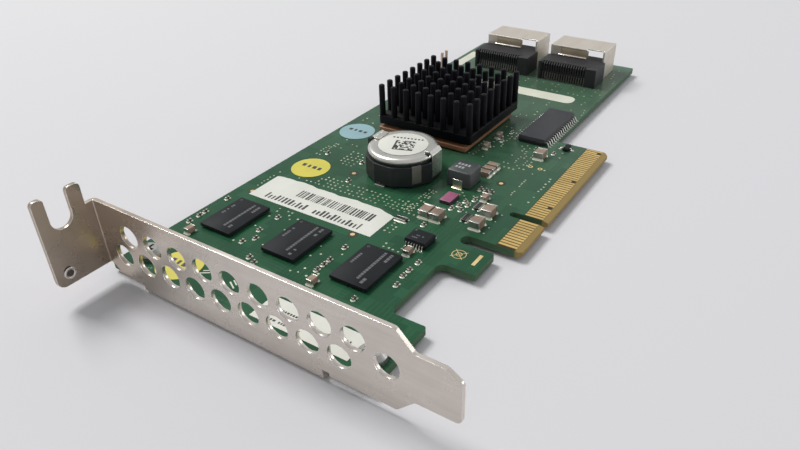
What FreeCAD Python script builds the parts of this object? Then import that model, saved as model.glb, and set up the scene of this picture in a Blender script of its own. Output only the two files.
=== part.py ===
import FreeCAD, Part
import math
import os

import Sketcher

# A low-profile add-in card for a PCI Express slot: a controller under a pin-fin heat sink,
# three memory chips, two internal serial-attached storage ports and a vented steel bracket.
#
# Frame, in millimetres: the origin is the middle of the key notch, at the tip of the edge
# connector, on the component side of the board. +X points out of the board into the slot,
# +Y runs from the bracket to the far end, +Z stands up from the component side.

doc = FreeCAD.newDocument("raid_controller_card")

# ---------------------------------------------------------------------------------------
# Driving dimensions
# ---------------------------------------------------------------------------------------

SIZES = {
    # circuit board
    "board_thickness": 1.57,
    "board_height": 68.9,
    "board_far_end": 103.0,
    "heel_height": 13.97,
    "foot_height": 4.38,
    "foot_end": 41.66,
    "recess_height": 12.23,
    "recess_corner_radius": 1.6,
    "hook_height": 4.35,
    "hook_start": 24.07,
    "hook_end": 15.7,
    "hook_slot_depth": 12.9,
    "heel_corner_radius": 0.8,
    "board_corner_radius": 0.5,
    # edge connector
    "key_width": 1.9,
    "key_depth": 8.6,
    "short_finger_end": 12.6,
    "long_finger_end": 39.1,
    "tip_bevel_length": 1.2,
    "tip_bevel_height": 0.35,
    "contact_pitch": 1.0,
    "contact_width": 0.7,
    "contact_thickness": 0.06,
    "contact_tip": 1.33,
    "contact_root": 5.53,
    "short_contact_tip": 2.5,
    "first_contact_offset": 1.5,
    # bracket, folded from one sheet
    "sheet_thickness": 0.86,
    "bracket_face": 59.7,
    "bracket_top": 15.75,
    "bracket_board_gap": 0.5,
    "seat_drop": 2.12,
    "tail_length": 12.6,
    "tail_low": 2.75,
    "tail_high": 12.35,
    "tail_corner": 1.0,
    "tail_taper_length": 2.6,
    "tail_taper_height": 1.7,
    "shoulder_start": 1.4,
    "shoulder_end": 4.7,
    "low_edge_left": 0.1,
    "low_edge_right": 0.6,
    "low_corner_offset": 1.5,
    "low_corner_length": 1.9,
    "flange_left": 57.5,
    "flange_right": 13.2,
    "flange_relief": 1.4,
    "flange_neck": 3.4,
    "ear_reach": 10.2,
    "ear_half_width": 3.3,
    "fold_radius": 1.1,
    "crease_radius": 0.25,
    "tab_reach": 11.3,
    "tab_low": 1.6,
    "tab_high": 20.4,
    "tab_corner_radius": 1.7,
    "tab_step": 1.6,
    "slot_width": 4.42,
    "slot_offset": 6.65,
    "slot_bottom": 13.1,
    "prong_corner_radius": 0.9,
    "dimple_diameter": 1.7,
    "dimple_depth": 0.45,
    "vent_diameter": 4.8,
    "vent_pitch": 6.5,
    "vent_first": 58.25,
    "vent_stagger": 3.0,
    "vent_row_high": 10.13,
    "vent_row_low": 4.99,
    "vent_single": 0.2,
    "vent_single_height": 7.7,
    # bracket screws
    "screw_inset": 6.84,
    "screw_drop": 4.9,
    "screw_low": 8.0,
    "screw_diameter": 2.9,
    "screw_hole": 3.2,
    "ear_hole": 3.0,
    "screw_head": 5.4,
    "screw_head_height": 1.9,
    # controller and heat sink
    "controller_x": 44.5,
    "controller_y": 33.6,
    "controller_side": 27.0,
    "underfill_height": 0.45,
    "underfill_inset": 0.5,
    "substrate_thickness": 1.15,
    "cap_side": 23.0,
    "pad_side": 22.0,
    "pad_thickness": 0.2,
    "sink_x": 44.0,
    "sink_y": 34.6,
    "sink_width": 28.2,
    "sink_length": 28.2,
    "sink_base": 2.4,
    "sink_base_thickness": 2.5,
    "sink_height": 11.0,
    "fin_diameter": 1.65,
    "fin_pitch": 3.79,
    # memory chips
    "memory_width": 8.8,
    "memory_length": 12.7,
    "memory_thickness": 0.85,
    "memory_standoff": 0.28,
    "memory_standoff_inset": 0.45,
    "memory_pitch": 17.85,
    "memory_x": 23.2,
    "memory_y": 33.5,
    # round alarm
    "alarm_x": 39.4,
    "alarm_y": 4.34,
    "alarm_radius": 8.57,
    "alarm_height": 7.4,
    "alarm_base_radius": 9.3,
    "alarm_cover_height": 1.35,
    "alarm_cover_bevel": 1.0,
    "alarm_groove_height": 0.5,
    "alarm_neck_radius": 8.1,
    "alarm_foot_bevel": 0.6,
    "alarm_clip_width": 4.4,
    "alarm_clip_clearance": 0.15,
    "alarm_clip_thickness": 0.3,
    "alarm_clip_low": 1.3,
    "alarm_clip_shift": 1.15,
    "alarm_clip_hook": 1.1,
    "alarm_label_radius": 6.06,
    # power parts
    "inductor_x": 24.15,
    "inductor_y": 7.2,
    "inductor_width": 6.3,
    "inductor_length": 6.2,
    "inductor_height": 4.15,
    "inductor_chamfer": 0.35,
    "inductor_tab_width": 2.6,
    "inductor_tab_height": 2.1,
    "inductor_tab_thickness": 0.18,
    "inductor_tab_foot": 0.6,
    "bead_x": 22.9,
    "bead_y": 1.85,
    "bead_width": 2.8,
    "bead_length": 4.4,
    "bead_height": 0.9,
    "bulk_width": 2.4,
    "bulk_length": 3.4,
    "bulk_height": 2.0,
    "bulk_end": 0.55,
    "bulk_end_proud": 0.03,
    # leaded chips
    "mould_draft": 0.2,
    "lead_thickness": 0.15,
    "lead_foot": 0.6,
    "sram_x": 19.1,
    "sram_y": 44.4,
    "sram_width": 7.5,
    "sram_length": 20.7,
    "sram_top": 2.0,
    "sram_standoff": 0.15,
    "sram_lead_pitch": 1.27,
    "sram_lead_width": 0.42,
    "sram_lead_reach": 1.4,
    "logic_x": 19.4,
    "logic_y": 19.9,
    "logic_width": 5.1,
    "logic_length": 4.4,
    "logic_top": 1.6,
    "logic_standoff": 0.1,
    "logic_lead_pitch": 0.65,
    "logic_lead_width": 0.25,
    "logic_lead_reach": 0.95,
    "transistor_x": 9.9,
    "transistor_y": 35.9,
    "transistor_width": 1.3,
    "transistor_length": 2.9,
    "transistor_top": 1.0,
    "transistor_lead_pitch": 0.95,
    "transistor_lead_width": 0.4,
    "transistor_lead_reach": 0.55,
    # small chip capacitors and resistors
    "chip_width": 0.6,
    "chip_length": 1.1,
    "chip_height": 0.55,
    "chip_end": 0.28,
    "chip_end_proud": 0.02,
    "trio_width": 1.6,
    "trio_length": 2.9,
    "trio_height": 1.3,
    "tan_width": 1.4,
    "tan_length": 2.2,
    "tan_height": 1.3,
    "array_width": 1.5,
    "array_length": 2.8,
    "array_height": 0.55,
    "array_end": 0.25,
    "array_pitch": 0.8,
    # storage ports
    "port_x": 28.05,
    "port_pitch": 22.6,
    "port_width": 18.8,
    "mouth_setback": 5.0,
    "cage_length": 10.6,
    "housing_length": 8.2,
    "cage_width": 17.8,
    "cage_height": 8.9,
    "cage_wall": 0.35,
    "cage_window": 5.3,
    "cage_window_offset": 3.0,
    "cage_window_inset": 0.75,
    "cage_lip": 0.8,
    "cage_leg_width": 1.6,
    "cage_leg_inset": 2.2,
    "cage_leg_protrusion": 0.88,
    "leg_slot_clearance": 0.15,
    "housing_height": 5.8,
    "housing_recess_depth": 2.7,
    "housing_cheek": 0.9,
    "tongue_width": 15.2,
    "tongue_low": 3.9,
    "tongue_thickness": 1.2,
    "tongue_setback": 4.6,
    "port_contact_pitch": 0.8,
    "port_contact_width": 0.36,
    "port_contact_thickness": 0.22,
    "port_contact_shoulder": 4.7,
    "port_contact_lean": 0.7,
    "port_contact_foot": 0.9,
    "port_contact_standoff": 1.1,
    # service header
    "header_drop": 6.6,
    "header_y": 62.6,
    "header_width": 2.6,
    "header_length": 5.2,
    "header_base": 2.5,
    "header_pin": 0.64,
    "header_pin_pitch": 2.54,
    "header_pin_top": 9.4,
    "header_pin_protrusion": 0.8,
    "header_hole": 1.0,
    # stickers and labels
    "sticker_thickness": 0.1,
    "sticker_radius": 4.9,
    "blue_sticker_clearance": 0.1,
    "blue_sticker_y": 17.0,
    "barcode_clearance": 0.55,
    "barcode_y": 18.45,
    "barcode_width": 34.9,
    "barcode_length": 10.9,
    "notice_x": 22.1,
    "notice_y": 52.6,
    "notice_width": 22.2,
    "notice_length": 6.6,
}

# Where the many like chips and stickers lie: the middle of each, in X and Y.
PLACES = {
    "bulk_one": (-23.9, -10.2),
    "bulk_two": (-21.1, -10.2),
    "bulk_three": (-12.2, -3.0),
    "bulk_four": (-12.2, -8.5),
    "bulk_five": (-13.9, 28.2),
    "trio_one": (-21.4, 12.7),
    "trio_two": (-21.4, 14.9),
    "trio_three": (-21.4, 17.1),
    "tan_cap_one": (-19.3, -24.6),
    "tan_cap_two": (-29.6, -42.4),
    "tan_cap_four": (-28.1, 26.2),
    "tan_cap_five": (-28.1, 33.5),
    "tan_cap_six": (-16.0, 2.4),
    "cap_one": (-51.3, -39.3),
    "cap_two": (-51.3, -34.1),
    "cap_three": (-51.3, -28.2),
    "cap_four": (-49.8, -36.9),
    "cap_five": (-46.0, -42.6),
    "cap_six": (-43.9, -43.6),
    "cap_seven": (-31.5, -38.8),
    "cap_eight": (-31.5, -36.7),
    "cap_nine": (-31.5, -34.8),
    "cap_ten": (-31.5, -29.7),
    "cap_eleven": (-19.8, -42.2),
    "cap_twelve": (-15.5, -34.5),
    "cap_thirteen": (-16.0, -31.5),
    "cap_fourteen": (-16.0, -29.3),
    "cap_fifteen": (-15.8, -26.3),
    "cap_sixteen": (-22.3, -14.0),
    "cap_seventeen": (-20.6, -4.9),
    "cap_eighteen": (-19.8, -2.9),
    "cap_nineteen": (-18.5, -4.5),
    "cap_twenty": (-18.1, -1.9),
    "cap_thirty": (-19.4, -0.7),
    "cap_forty": (-17.9, 1.0),
    "cap_fifty": (-26.4, 31.8),
    "cap_sixty": (-26.4, 37.8),
    "cap_seventy": (-11.8, 31.8),
    "cap_eighty": (-50.9, 2.6),
    "cap_ninety": (-48.2, -6.6),
    "line_one": (-19.1, 6.0),
    "line_two": (-17.7, 6.0),
    "line_three": (-16.3, 6.0),
    "array_one": (-27.5, -14.7),
    "crossed_two": (-15.6, -7.0),
    "crossed_three": (-15.6, -1.3),
}

# The same, for those laid out from the board's upper edge: how far below it, and Y.
UPPER_PLACES = {
    "tan_cap_three": (5.2, -42.4),
    "cap_upper_one": (1.8, -39.6),
    "cap_upper_two": (1.8, -36.7),
    "cap_upper_three": (1.8, -34.9),
    "cap_upper_four": (1.8, -28.1),
    "cap_upper_five": (7.2, 2.4),
    "cap_upper_six": (1.9, 38.7),
    "yellow_sticker_one": (8.6, -6.2),
    "yellow_sticker_two": (12.9, -52.0),
}

sheet = doc.addObject("Spreadsheet::Sheet", "sizes")
for name, (x, y) in PLACES.items():
    SIZES[name + "_x"] = x
    SIZES[name + "_y"] = y
for name, (drop, y) in UPPER_PLACES.items():
    SIZES[name + "_drop"] = drop
    SIZES[name + "_y"] = y
for row, (alias, number) in enumerate(SIZES.items(), start=1):
    sheet.set(f"A{row}", alias)
    sheet.set(f"B{row}", str(number))
    sheet.setAlias(f"B{row}", alias)
doc.recompute()


class Size:
    """A length that knows its value and the spreadsheet expression behind it."""

    def __init__(self, value, text):
        self.value = float(value)
        self.text = text

    def __add__(self, other):
        other = as_size(other)
        return Size(self.value + other.value, f"({self.text} + {other.text})")

    def __sub__(self, other):
        other = as_size(other)
        return Size(self.value - other.value, f"({self.text} - {other.text})")

    def __mul__(self, other):
        other = as_size(other)
        return Size(self.value * other.value, f"({self.text} * {other.text})")

    def __truediv__(self, other):
        other = as_size(other)
        return Size(self.value / other.value, f"({self.text} / {other.text})")

    def __neg__(self):
        return Size(-self.value, f"(-1 * {self.text})")


def as_size(number):
    return number if isinstance(number, Size) else Size(number, repr(float(number)))


class Sheet:
    """Reads a named cell as a Size: at.board_height."""

    def __getattr__(self, alias):
        return Size(getattr(sheet, alias), f"sizes.{alias}")


at = Sheet()


def place_of(name):
    """The middle of a small part, from the tip or from the board's upper edge."""
    if name in UPPER_PLACES:
        return getattr(at, name + "_drop") - at.board_height, getattr(at, name + "_y")
    return getattr(at, name + "_x"), getattr(at, name + "_y")


# ---------------------------------------------------------------------------------------
# Ways of making a piece
# ---------------------------------------------------------------------------------------

NODES = []


def name_piece(piece, label):
    """Makes a document object one of the card's pieces."""
    piece.Label = label
    NODES.append(piece)
    return piece


def bind(item, prop, size):
    item.setExpression(prop, as_size(size).text)


def place(item, x, y, z):
    bind(item, "Placement.Base.x", x)
    bind(item, "Placement.Base.y", y)
    bind(item, "Placement.Base.z", z)


def block(name, width, length, height, x, y, z):
    """A box centred on x and y, standing on z."""
    item = doc.addObject("Part::Box", name)
    bind(item, "Length", width)
    bind(item, "Width", length)
    bind(item, "Height", height)
    place(item, x - width / 2, y - length / 2, z)
    return item


def disc(name, radius, height, x, y, z):
    item = doc.addObject("Part::Cylinder", name)
    bind(item, "Radius", radius)
    bind(item, "Height", height)
    place(item, x, y, z)
    return item


def group(label, members):
    """Separate like solids that share one node."""
    compound = doc.addObject("Part::Compound", label)
    compound.Links = members
    return name_piece(compound, label)


def new_body(label):
    body = doc.addObject("PartDesign::Body", label)
    body.AllowCompound = True
    return body


def origin_plane(body, role):
    return next(item for item in body.Origin.OriginFeatures if item.Role == role)


def new_sketch(body, name, role, offset):
    """A sketch on one of the body's own planes, moved along the plane's normal."""
    sketch = body.newObject("Sketcher::SketchObject", name)
    sketch.AttachmentSupport = [(origin_plane(body, role), "")]
    sketch.MapMode = "FlatFace"
    bind(sketch, "AttachmentOffset.Base.z", offset)
    return sketch


def pin_point(sketch, geometry, point, x, y):
    """Holds one point of a sketch at sizes from the sheet."""
    for kind, size in (("DistanceX", as_size(x)), ("DistanceY", as_size(y))):
        index = sketch.addConstraint(Sketcher.Constraint(kind, -1, 1, geometry, point, size.value))
        sketch.setExpression(f"Constraints[{index}]", size.text)


def outline(body, name, role, corners, offset=0.0):
    """A closed outline with straight sides, each corner held by the sheet."""
    sketch = new_sketch(body, name, role, offset)
    corners = [(as_size(x), as_size(y)) for x, y in corners]
    vectors = [FreeCAD.Vector(x.value, y.value, 0) for x, y in corners]
    for index, start in enumerate(vectors):
        end = vectors[(index + 1) % len(vectors)]
        sketch.addGeometry(Part.LineSegment(start, end), False)
    for index, (x, y) in enumerate(corners):
        before = (index - 1) % len(corners)
        sketch.addConstraint(Sketcher.Constraint("Coincident", before, 2, index, 1))
        pin_point(sketch, index, 1, x, y)
    return sketch


def ring(x, y, radius, flats, start=0.0):
    """Corners of a regular outline; start turns it by a share of one flat."""
    turns = [2 * math.pi * (step + start) / flats for step in range(flats)]
    return [(x + radius * math.cos(turn), y + radius * math.sin(turn)) for turn in turns]


def circle(body, name, role, x, y, diameter, offset=0.0):
    sketch = new_sketch(body, name, role, offset)
    x, y, diameter = as_size(x), as_size(y), as_size(diameter)
    centre = FreeCAD.Vector(x.value, y.value, 0)
    sketch.addGeometry(Part.Circle(centre, FreeCAD.Vector(0, 0, 1), diameter.value / 2), False)
    pin_point(sketch, 0, 3, x, y)
    index = sketch.addConstraint(Sketcher.Constraint("Diameter", 0, diameter.value))
    sketch.setExpression(f"Constraints[{index}]", diameter.text)
    return sketch


def pad(body, name, sketch, length, backwards=False):
    feature = body.newObject("PartDesign::Pad", name)
    feature.Profile = sketch
    bind(feature, "Length", length)
    feature.Reversed = backwards
    return feature


def pocket(body, name, sketch, depth, backwards=False):
    feature = body.newObject("PartDesign::Pocket", name)
    feature.Profile = sketch
    bind(feature, "Length", depth)
    feature.Reversed = backwards
    return feature


def row_of(body, name, feature, sketch, axis, length, count):
    """Repeats a feature along one of its sketch's axes."""
    pattern = body.newObject("PartDesign::LinearPattern", name)
    pattern.Originals = [feature]
    pattern.Direction = (sketch, [axis])
    bind(pattern, "Length", length)
    pattern.Occurrences = count
    body.Tip = pattern
    return pattern


def edges_where(feature, test):
    """Names of the edges whose middle point passes a test."""
    names = []
    for index, edge in enumerate(feature.Shape.Edges, start=1):
        middle = edge.valueAt((edge.FirstParameter + edge.LastParameter) / 2)
        if test(middle, edge):
            names.append(f"Edge{index}")
    return names


def rounded(body, name, base, radius, test):
    doc.recompute()
    feature = body.newObject("PartDesign::Fillet", name)
    feature.Base = (base, edges_where(base, test))
    bind(feature, "Radius", radius)
    return feature


def bevelled(body, name, base, size, test, other_size=None):
    doc.recompute()
    feature = body.newObject("PartDesign::Chamfer", name)
    feature.Base = (base, edges_where(base, test))
    bind(feature, "Size", size)
    if other_size is not None:
        feature.ChamferType = "Two distances"
        bind(feature, "Size2", other_size)
    return feature


def near(value, size, slack=0.01):
    return abs(value - as_size(size).value) < slack


def upright(edge):
    """True for a straight edge along Z."""
    ends = [vertex.Point for vertex in edge.Vertexes]
    return len(ends) == 2 and near(ends[0].x, ends[1].x) and near(ends[0].y, ends[1].y)


def crosswise(edge):
    """True for a straight edge along Y."""
    ends = [vertex.Point for vertex in edge.Vertexes]
    return len(ends) == 2 and near(ends[0].x, ends[1].x) and near(ends[0].z, ends[1].z)


# ---------------------------------------------------------------------------------------
# Circuit board, with its edge connector
# ---------------------------------------------------------------------------------------

seat_height = at.board_height - at.seat_drop
screw_high = at.board_height - at.screw_drop
header_x = -(at.board_height - at.header_drop)
port_mouth = at.board_far_end - at.mouth_setback
cage_near = port_mouth - at.cage_length
port_near = cage_near - at.housing_length
board_near_end = -(at.bracket_face - at.sheet_thickness - at.bracket_board_gap)
board = new_body("circuit_board")
board_outline = outline(board, "board_outline", "XY_Plane", [
    (-at.board_height, board_near_end),
    (-at.foot_height, board_near_end),
    (-at.foot_height, -at.foot_end),
    (-at.recess_height, -at.foot_end),
    (-at.recess_height, -at.hook_start),
    (-at.hook_height, -at.hook_start),
    (-at.hook_height, -at.hook_end),
    (-at.hook_slot_depth, -at.hook_end),
    (-at.hook_slot_depth, -at.short_finger_end),
    (0.0, -at.short_finger_end),
    (0.0, -at.key_width / 2),
    (-at.key_depth, -at.key_width / 2),
    (-at.key_depth, at.key_width / 2),
    (0.0, at.key_width / 2),
    (0.0, at.long_finger_end),
    (-at.heel_height, at.long_finger_end),
    (-at.heel_height, at.board_far_end),
    (-at.board_height, at.board_far_end),
])
board_slab = pad(board, "board_slab", board_outline, at.board_thickness, backwards=True)
recess = rounded(board, "recess_corners", board_slab, at.recess_corner_radius,
                 lambda p, e: upright(e) and near(p.x, -at.recess_height))
notch_ends = rounded(board, "notch_ends", recess, at.key_width / 2 * 0.94,
                     lambda p, e: upright(e) and near(p.x, -at.key_depth))
hook_slot = rounded(board, "hook_slot_end",
                    notch_ends, (at.hook_end - at.short_finger_end) / 2 * 0.94,
                    lambda p, e: upright(e) and near(p.x, -at.hook_slot_depth))
heel = rounded(board, "heel_corner", hook_slot, at.heel_corner_radius,
               lambda p, e: upright(e) and near(p.x, -at.heel_height)
               and near(p.y, at.long_finger_end))
tip_corners = bevelled(board, "tip_corners", heel, at.heel_corner_radius,
                       lambda p, e: upright(e) and near(p.x, 0.0)
                       and (near(p.y, at.long_finger_end) or near(p.y, -at.short_finger_end)))
outer_corners = rounded(board, "outer_corners", tip_corners, at.board_corner_radius,
                        lambda p, e: upright(e) and (near(p.x, -at.hook_height)
                                                     or near(p.x, -at.foot_height)
                                                     or near(p.x, -at.board_height)
                                                     or near(p.y, at.board_far_end)))

# The tip is bevelled on both faces so that it slides between the slot's springs.
finger_length = at.short_finger_end + at.long_finger_end
bevel_up = outline(board, "bevel_up", "XZ_Plane", [
    (0.0, 0.0), (-at.tip_bevel_length, 0.0), (0.0, -at.tip_bevel_height),
], -at.long_finger_end)
pocket(board, "bevel_up_cut", bevel_up, finger_length, backwards=True)
bevel_down = outline(board, "bevel_down", "XZ_Plane", [
    (0.0, -at.board_thickness),
    (0.0, at.tip_bevel_height - at.board_thickness),
    (-at.tip_bevel_length, -at.board_thickness),
], -at.long_finger_end)
pocket(board, "bevel_down_cut", bevel_down, finger_length, backwards=True)

screw_y = -(at.bracket_face - at.screw_inset)
for name, screw_x in (("high_hole", -screw_high), ("low_hole", -at.screw_low)):
    hole = circle(board, name, "XY_Plane", screw_x, screw_y, at.screw_hole)
    pocket(board, name + "_cut", hole, at.board_thickness)
for side in (-1, 1):
    pin_y = at.header_y + at.header_pin_pitch / 2 * side
    name = "pin_hole_low" if side < 0 else "pin_hole_high"
    hole = circle(board, name, "XY_Plane", header_x, pin_y, at.header_hole)
    pocket(board, name + "_cut", hole, at.board_thickness)

# Slots for the port cages' legs, each a clearance wider than its leg all round.
port_centres = (-at.port_x, -(at.port_x + at.port_pitch))
cage_leg_rows = (cage_near + at.cage_leg_inset, port_mouth - at.cage_leg_inset)
for port, port_x in enumerate(port_centres, start=1):
    for side in (-1, 1):
        for row, leg_y in enumerate(cage_leg_rows, start=1):
            leg_x = port_x + (at.cage_width / 2 - at.cage_wall / 2) * side
            half_x = at.cage_wall / 2 + at.leg_slot_clearance
            half_y = at.cage_leg_width / 2 + at.leg_slot_clearance
            name = f"leg_slot_{port}_{row}_" + ("low" if side < 0 else "high")
            slot = outline(board, name, "XY_Plane", [
                (leg_x - half_x, leg_y - half_y),
                (leg_x + half_x, leg_y - half_y),
                (leg_x + half_x, leg_y + half_y),
                (leg_x - half_x, leg_y + half_y),
            ])
            pocket(board, name + "_cut", slot, at.board_thickness)
name_piece(board, "circuit_board")


def contact_row(label, side_z, outward, short_ones):
    """Gold contacts along one face: a long and a short run, with some contacts set back."""
    body = new_body(label)
    half = at.contact_width / 2
    runs = (("long", at.first_contact_offset, at.long_finger_end),
            ("short", -at.short_finger_end, -at.first_contact_offset))
    for name, low, high in runs:
        low = as_size(low)
        high = as_size(high)
        room = high.value - low.value - at.contact_width.value / 2
        count = int(room / at.contact_pitch.value + 1e-6) + 1
        first = at.first_contact_offset if name == "long" else -at.first_contact_offset
        profile = outline(body, name + "_contact", "XY_Plane", [
            (-at.contact_root, first - half),
            (-at.contact_tip, first - half),
            (-at.contact_tip, first + half),
            (-at.contact_root, first + half),
        ], side_z)
        one = pad(body, name + "_contact_pad", profile, at.contact_thickness, not outward)
        run = row_of(body, name + "_contacts", one, profile, "V_Axis",
                     at.contact_pitch * (count - 1), count)
        run.Reversed = name == "short"
    for step in short_ones:
        middle = (at.first_contact_offset + at.contact_pitch * (abs(step) - 1)) * (1 if step > 0 else -1)
        cut = outline(body, f"short_contact_{abs(step)}", "XY_Plane", [
            (-at.short_contact_tip, middle - half),
            (0.0, middle - half),
            (0.0, middle + half),
            (-at.short_contact_tip, middle + half),
        ], side_z)
        pocket(body, f"short_contact_cut_{abs(step)}", cut, at.contact_thickness, outward)
    return name_piece(body, label)


# The presence-detect contacts stop short of the tip: steps count from the key notch.
contact_row("edge_contacts_component_side", as_size(0.0), True, (6, 20, 37))
contact_row("edge_contacts_solder_side", -at.board_thickness, False, (-11,))

# ---------------------------------------------------------------------------------------
# Bracket: face plate, flange under the board, tail for the case slot and screw tab
# ---------------------------------------------------------------------------------------

outer = -at.bracket_face
inner = outer + at.sheet_thickness
tab_back = -(seat_height + at.sheet_thickness)
flange_low = -(at.board_thickness + at.sheet_thickness)

bracket = new_body("bracket")
face = outline(bracket, "face_outline", "XZ_Plane", [
    (tab_back, at.tab_low),
    (tab_back + at.low_corner_offset, at.tab_low),
    (tab_back + at.low_corner_offset + at.low_corner_length, at.low_edge_left),
    (-at.flange_left, at.low_edge_left),
    (-at.flange_left, flange_low),
    (-at.flange_right, flange_low),
    (-at.flange_right, at.low_edge_left),
    (-(at.flange_right - at.flange_relief), at.low_edge_left),
    (-(at.flange_right - at.flange_relief), -at.low_edge_right),
    (at.shoulder_start, -at.low_edge_right),
    (at.shoulder_end, at.tail_low),
    (at.tail_length, at.tail_low),
    (at.tail_length, at.tail_high - at.tail_taper_height),
    (at.tail_length - at.tail_taper_length, at.tail_high),
    (at.shoulder_end, at.tail_high),
    (at.shoulder_start, at.bracket_top),
    (tab_back, at.bracket_top),
], -inner)
pad(bracket, "face_plate", face, at.sheet_thickness)
flange = outline(bracket, "flange_outline", "XY_Plane", [
    (-at.flange_left, outer),
    (-at.flange_right, outer),
    (-at.flange_right, outer + at.flange_relief),
    (-(at.screw_low - at.ear_half_width), outer + at.flange_relief),
    (-(at.screw_low - at.ear_half_width), outer + at.ear_reach),
    (-(at.screw_low + at.ear_half_width), outer + at.ear_reach),
    (-(at.screw_low + at.ear_half_width), outer + at.flange_neck),
    (-(screw_high - at.ear_half_width), outer + at.flange_neck),
    (-(screw_high - at.ear_half_width), outer + at.ear_reach),
    (-(screw_high + at.ear_half_width), outer + at.ear_reach),
    (-(screw_high + at.ear_half_width), outer + at.flange_relief),
    (-at.flange_left, outer + at.flange_relief),
], -at.board_thickness)
pad(bracket, "flange", flange, at.sheet_thickness, backwards=True)

slot_middle = outer - at.slot_offset
slot_round = at.slot_bottom + at.slot_width / 2
tab = outline(bracket, "tab_outline", "YZ_Plane", [
    (inner, at.tab_low),
    (inner, at.bracket_top),
    (outer - at.tab_step, at.bracket_top),
    (outer - at.tab_step, at.tab_high),
    (slot_middle + at.slot_width / 2, at.tab_high),
    (slot_middle + at.slot_width / 2, slot_round),
    (slot_middle - at.slot_width / 2, slot_round),
    (slot_middle - at.slot_width / 2, at.tab_high),
    (outer - at.tab_reach, at.tab_high),
    (outer - at.tab_reach, at.tab_low),
], tab_back)
pad(bracket, "tab", tab, at.sheet_thickness)
slot_end = circle(bracket, "slot_end", "YZ_Plane", slot_middle, slot_round, at.slot_width, tab_back)
pocket(bracket, "slot_end_cut", slot_end, at.sheet_thickness, backwards=True)
dimple = circle(bracket, "dimple", "YZ_Plane", outer - at.tab_reach + at.dimple_diameter * 1.6,
                at.tab_low + at.dimple_diameter * 1.8, at.dimple_diameter, -seat_height)
tab_done = pocket(bracket, "dimple_cut", dimple, at.dimple_depth)

fold_outside = rounded(bracket, "fold_outside", tab_done, at.fold_radius,
                       lambda p, e: (near(p.x, tab_back) and near(p.y, inner))
                       or (near(p.y, outer) and near(p.z, flange_low)))
fold_inside = rounded(bracket, "fold_inside", fold_outside, at.crease_radius,
                      lambda p, e: (near(p.x, -seat_height) and near(p.y, outer))
                      or (near(p.y, inner) and near(p.z, -at.board_thickness)
                          and e.Length > at.ear_reach.value))


def along_y(edge):
    ends = [vertex.Point for vertex in edge.Vertexes]
    return len(ends) == 2 and near(ends[0].x, ends[1].x) and near(ends[0].z, ends[1].z)


def along_x(edge):
    ends = [vertex.Point for vertex in edge.Vertexes]
    return len(ends) == 2 and near(ends[0].y, ends[1].y) and near(ends[0].z, ends[1].z)


tail_corners = rounded(bracket, "tail_corners", fold_inside, at.tail_corner,
                       lambda p, e: along_y(e) and (near(p.x, at.tail_length)
                                                    or near(p.x, at.shoulder_end)
                                                    or near(p.x, at.shoulder_start)))
prongs = rounded(bracket, "prong_corners", tail_corners, at.prong_corner_radius,
                 lambda p, e: along_x(e) and near(p.z, at.tab_high))
tab_corner = rounded(bracket, "tab_corner", prongs, at.tab_corner_radius,
                     lambda p, e: along_x(e) and near(p.y, outer - at.tab_reach)
                     and near(p.z, at.tab_low))
ears = rounded(bracket, "ear_corners", tab_corner, at.ear_half_width * 0.6,
               lambda p, e: upright(e) and near(p.y, outer + at.ear_reach))

vent_rows = (("upper", at.vent_first, at.vent_row_high),
             ("lower", at.vent_first + at.vent_stagger, at.vent_row_low))
vent_span = at.vent_first - at.vent_single - at.vent_diameter
vent_count = int(vent_span.value / at.vent_pitch.value) + 1
for name, first, height in vent_rows:
    vent = outline(bracket, name + "_vent", "XZ_Plane",
                   ring(-first, height, at.vent_diameter / 2, 24), -outer)
    cut = pocket(bracket, name + "_vent_cut", vent, at.sheet_thickness)
    row_of(bracket, name + "_vents", cut, vent, "H_Axis", at.vent_pitch * (vent_count - 1), vent_count)
single = outline(bracket, "single_vent", "XZ_Plane",
                 ring(-at.vent_single, at.vent_single_height, at.vent_diameter / 2, 24), -outer)
pocket(bracket, "single_vent_cut", single, at.sheet_thickness)

for name, screw_x in (("high_ear_hole", -screw_high), ("low_ear_hole", -at.screw_low)):
    hole = circle(bracket, name, "XY_Plane", screw_x, screw_y, at.ear_hole, -at.board_thickness)
    pocket(bracket, name + "_cut", hole, at.sheet_thickness)
name_piece(bracket, "bracket")

for label, screw_x in (("bracket_screw_high", -screw_high), ("bracket_screw_low", -at.screw_low)):
    screw = new_body(label)
    head = circle(screw, "head", "XY_Plane", screw_x, screw_y, at.screw_head)
    head_pad = pad(screw, "head_pad", head, at.screw_head_height)
    bevelled(screw, "dome", head_pad, at.screw_head_height * 0.45,
             lambda p, e: near(p.z, at.screw_head_height))
    shank = circle(screw, "shank", "XY_Plane", screw_x, screw_y, at.screw_diameter)
    pad(screw, "shank_pad", shank, -flange_low, backwards=True)
    for turn, (half_x, half_y) in enumerate(((0.26, 0.05), (0.05, 0.26))):
        cross = outline(screw, f"cross_{turn}", "XY_Plane", [
            (screw_x - at.screw_head * half_x, screw_y - at.screw_head * half_y),
            (screw_x + at.screw_head * half_x, screw_y - at.screw_head * half_y),
            (screw_x + at.screw_head * half_x, screw_y + at.screw_head * half_y),
            (screw_x - at.screw_head * half_x, screw_y + at.screw_head * half_y),
        ], at.screw_head_height)
        pocket(screw, f"cross_cut_{turn}", cross, at.screw_head_height / 2)
    name_piece(screw, label)

# ---------------------------------------------------------------------------------------
# Controller stack and pin-fin heat sink
# ---------------------------------------------------------------------------------------

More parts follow.
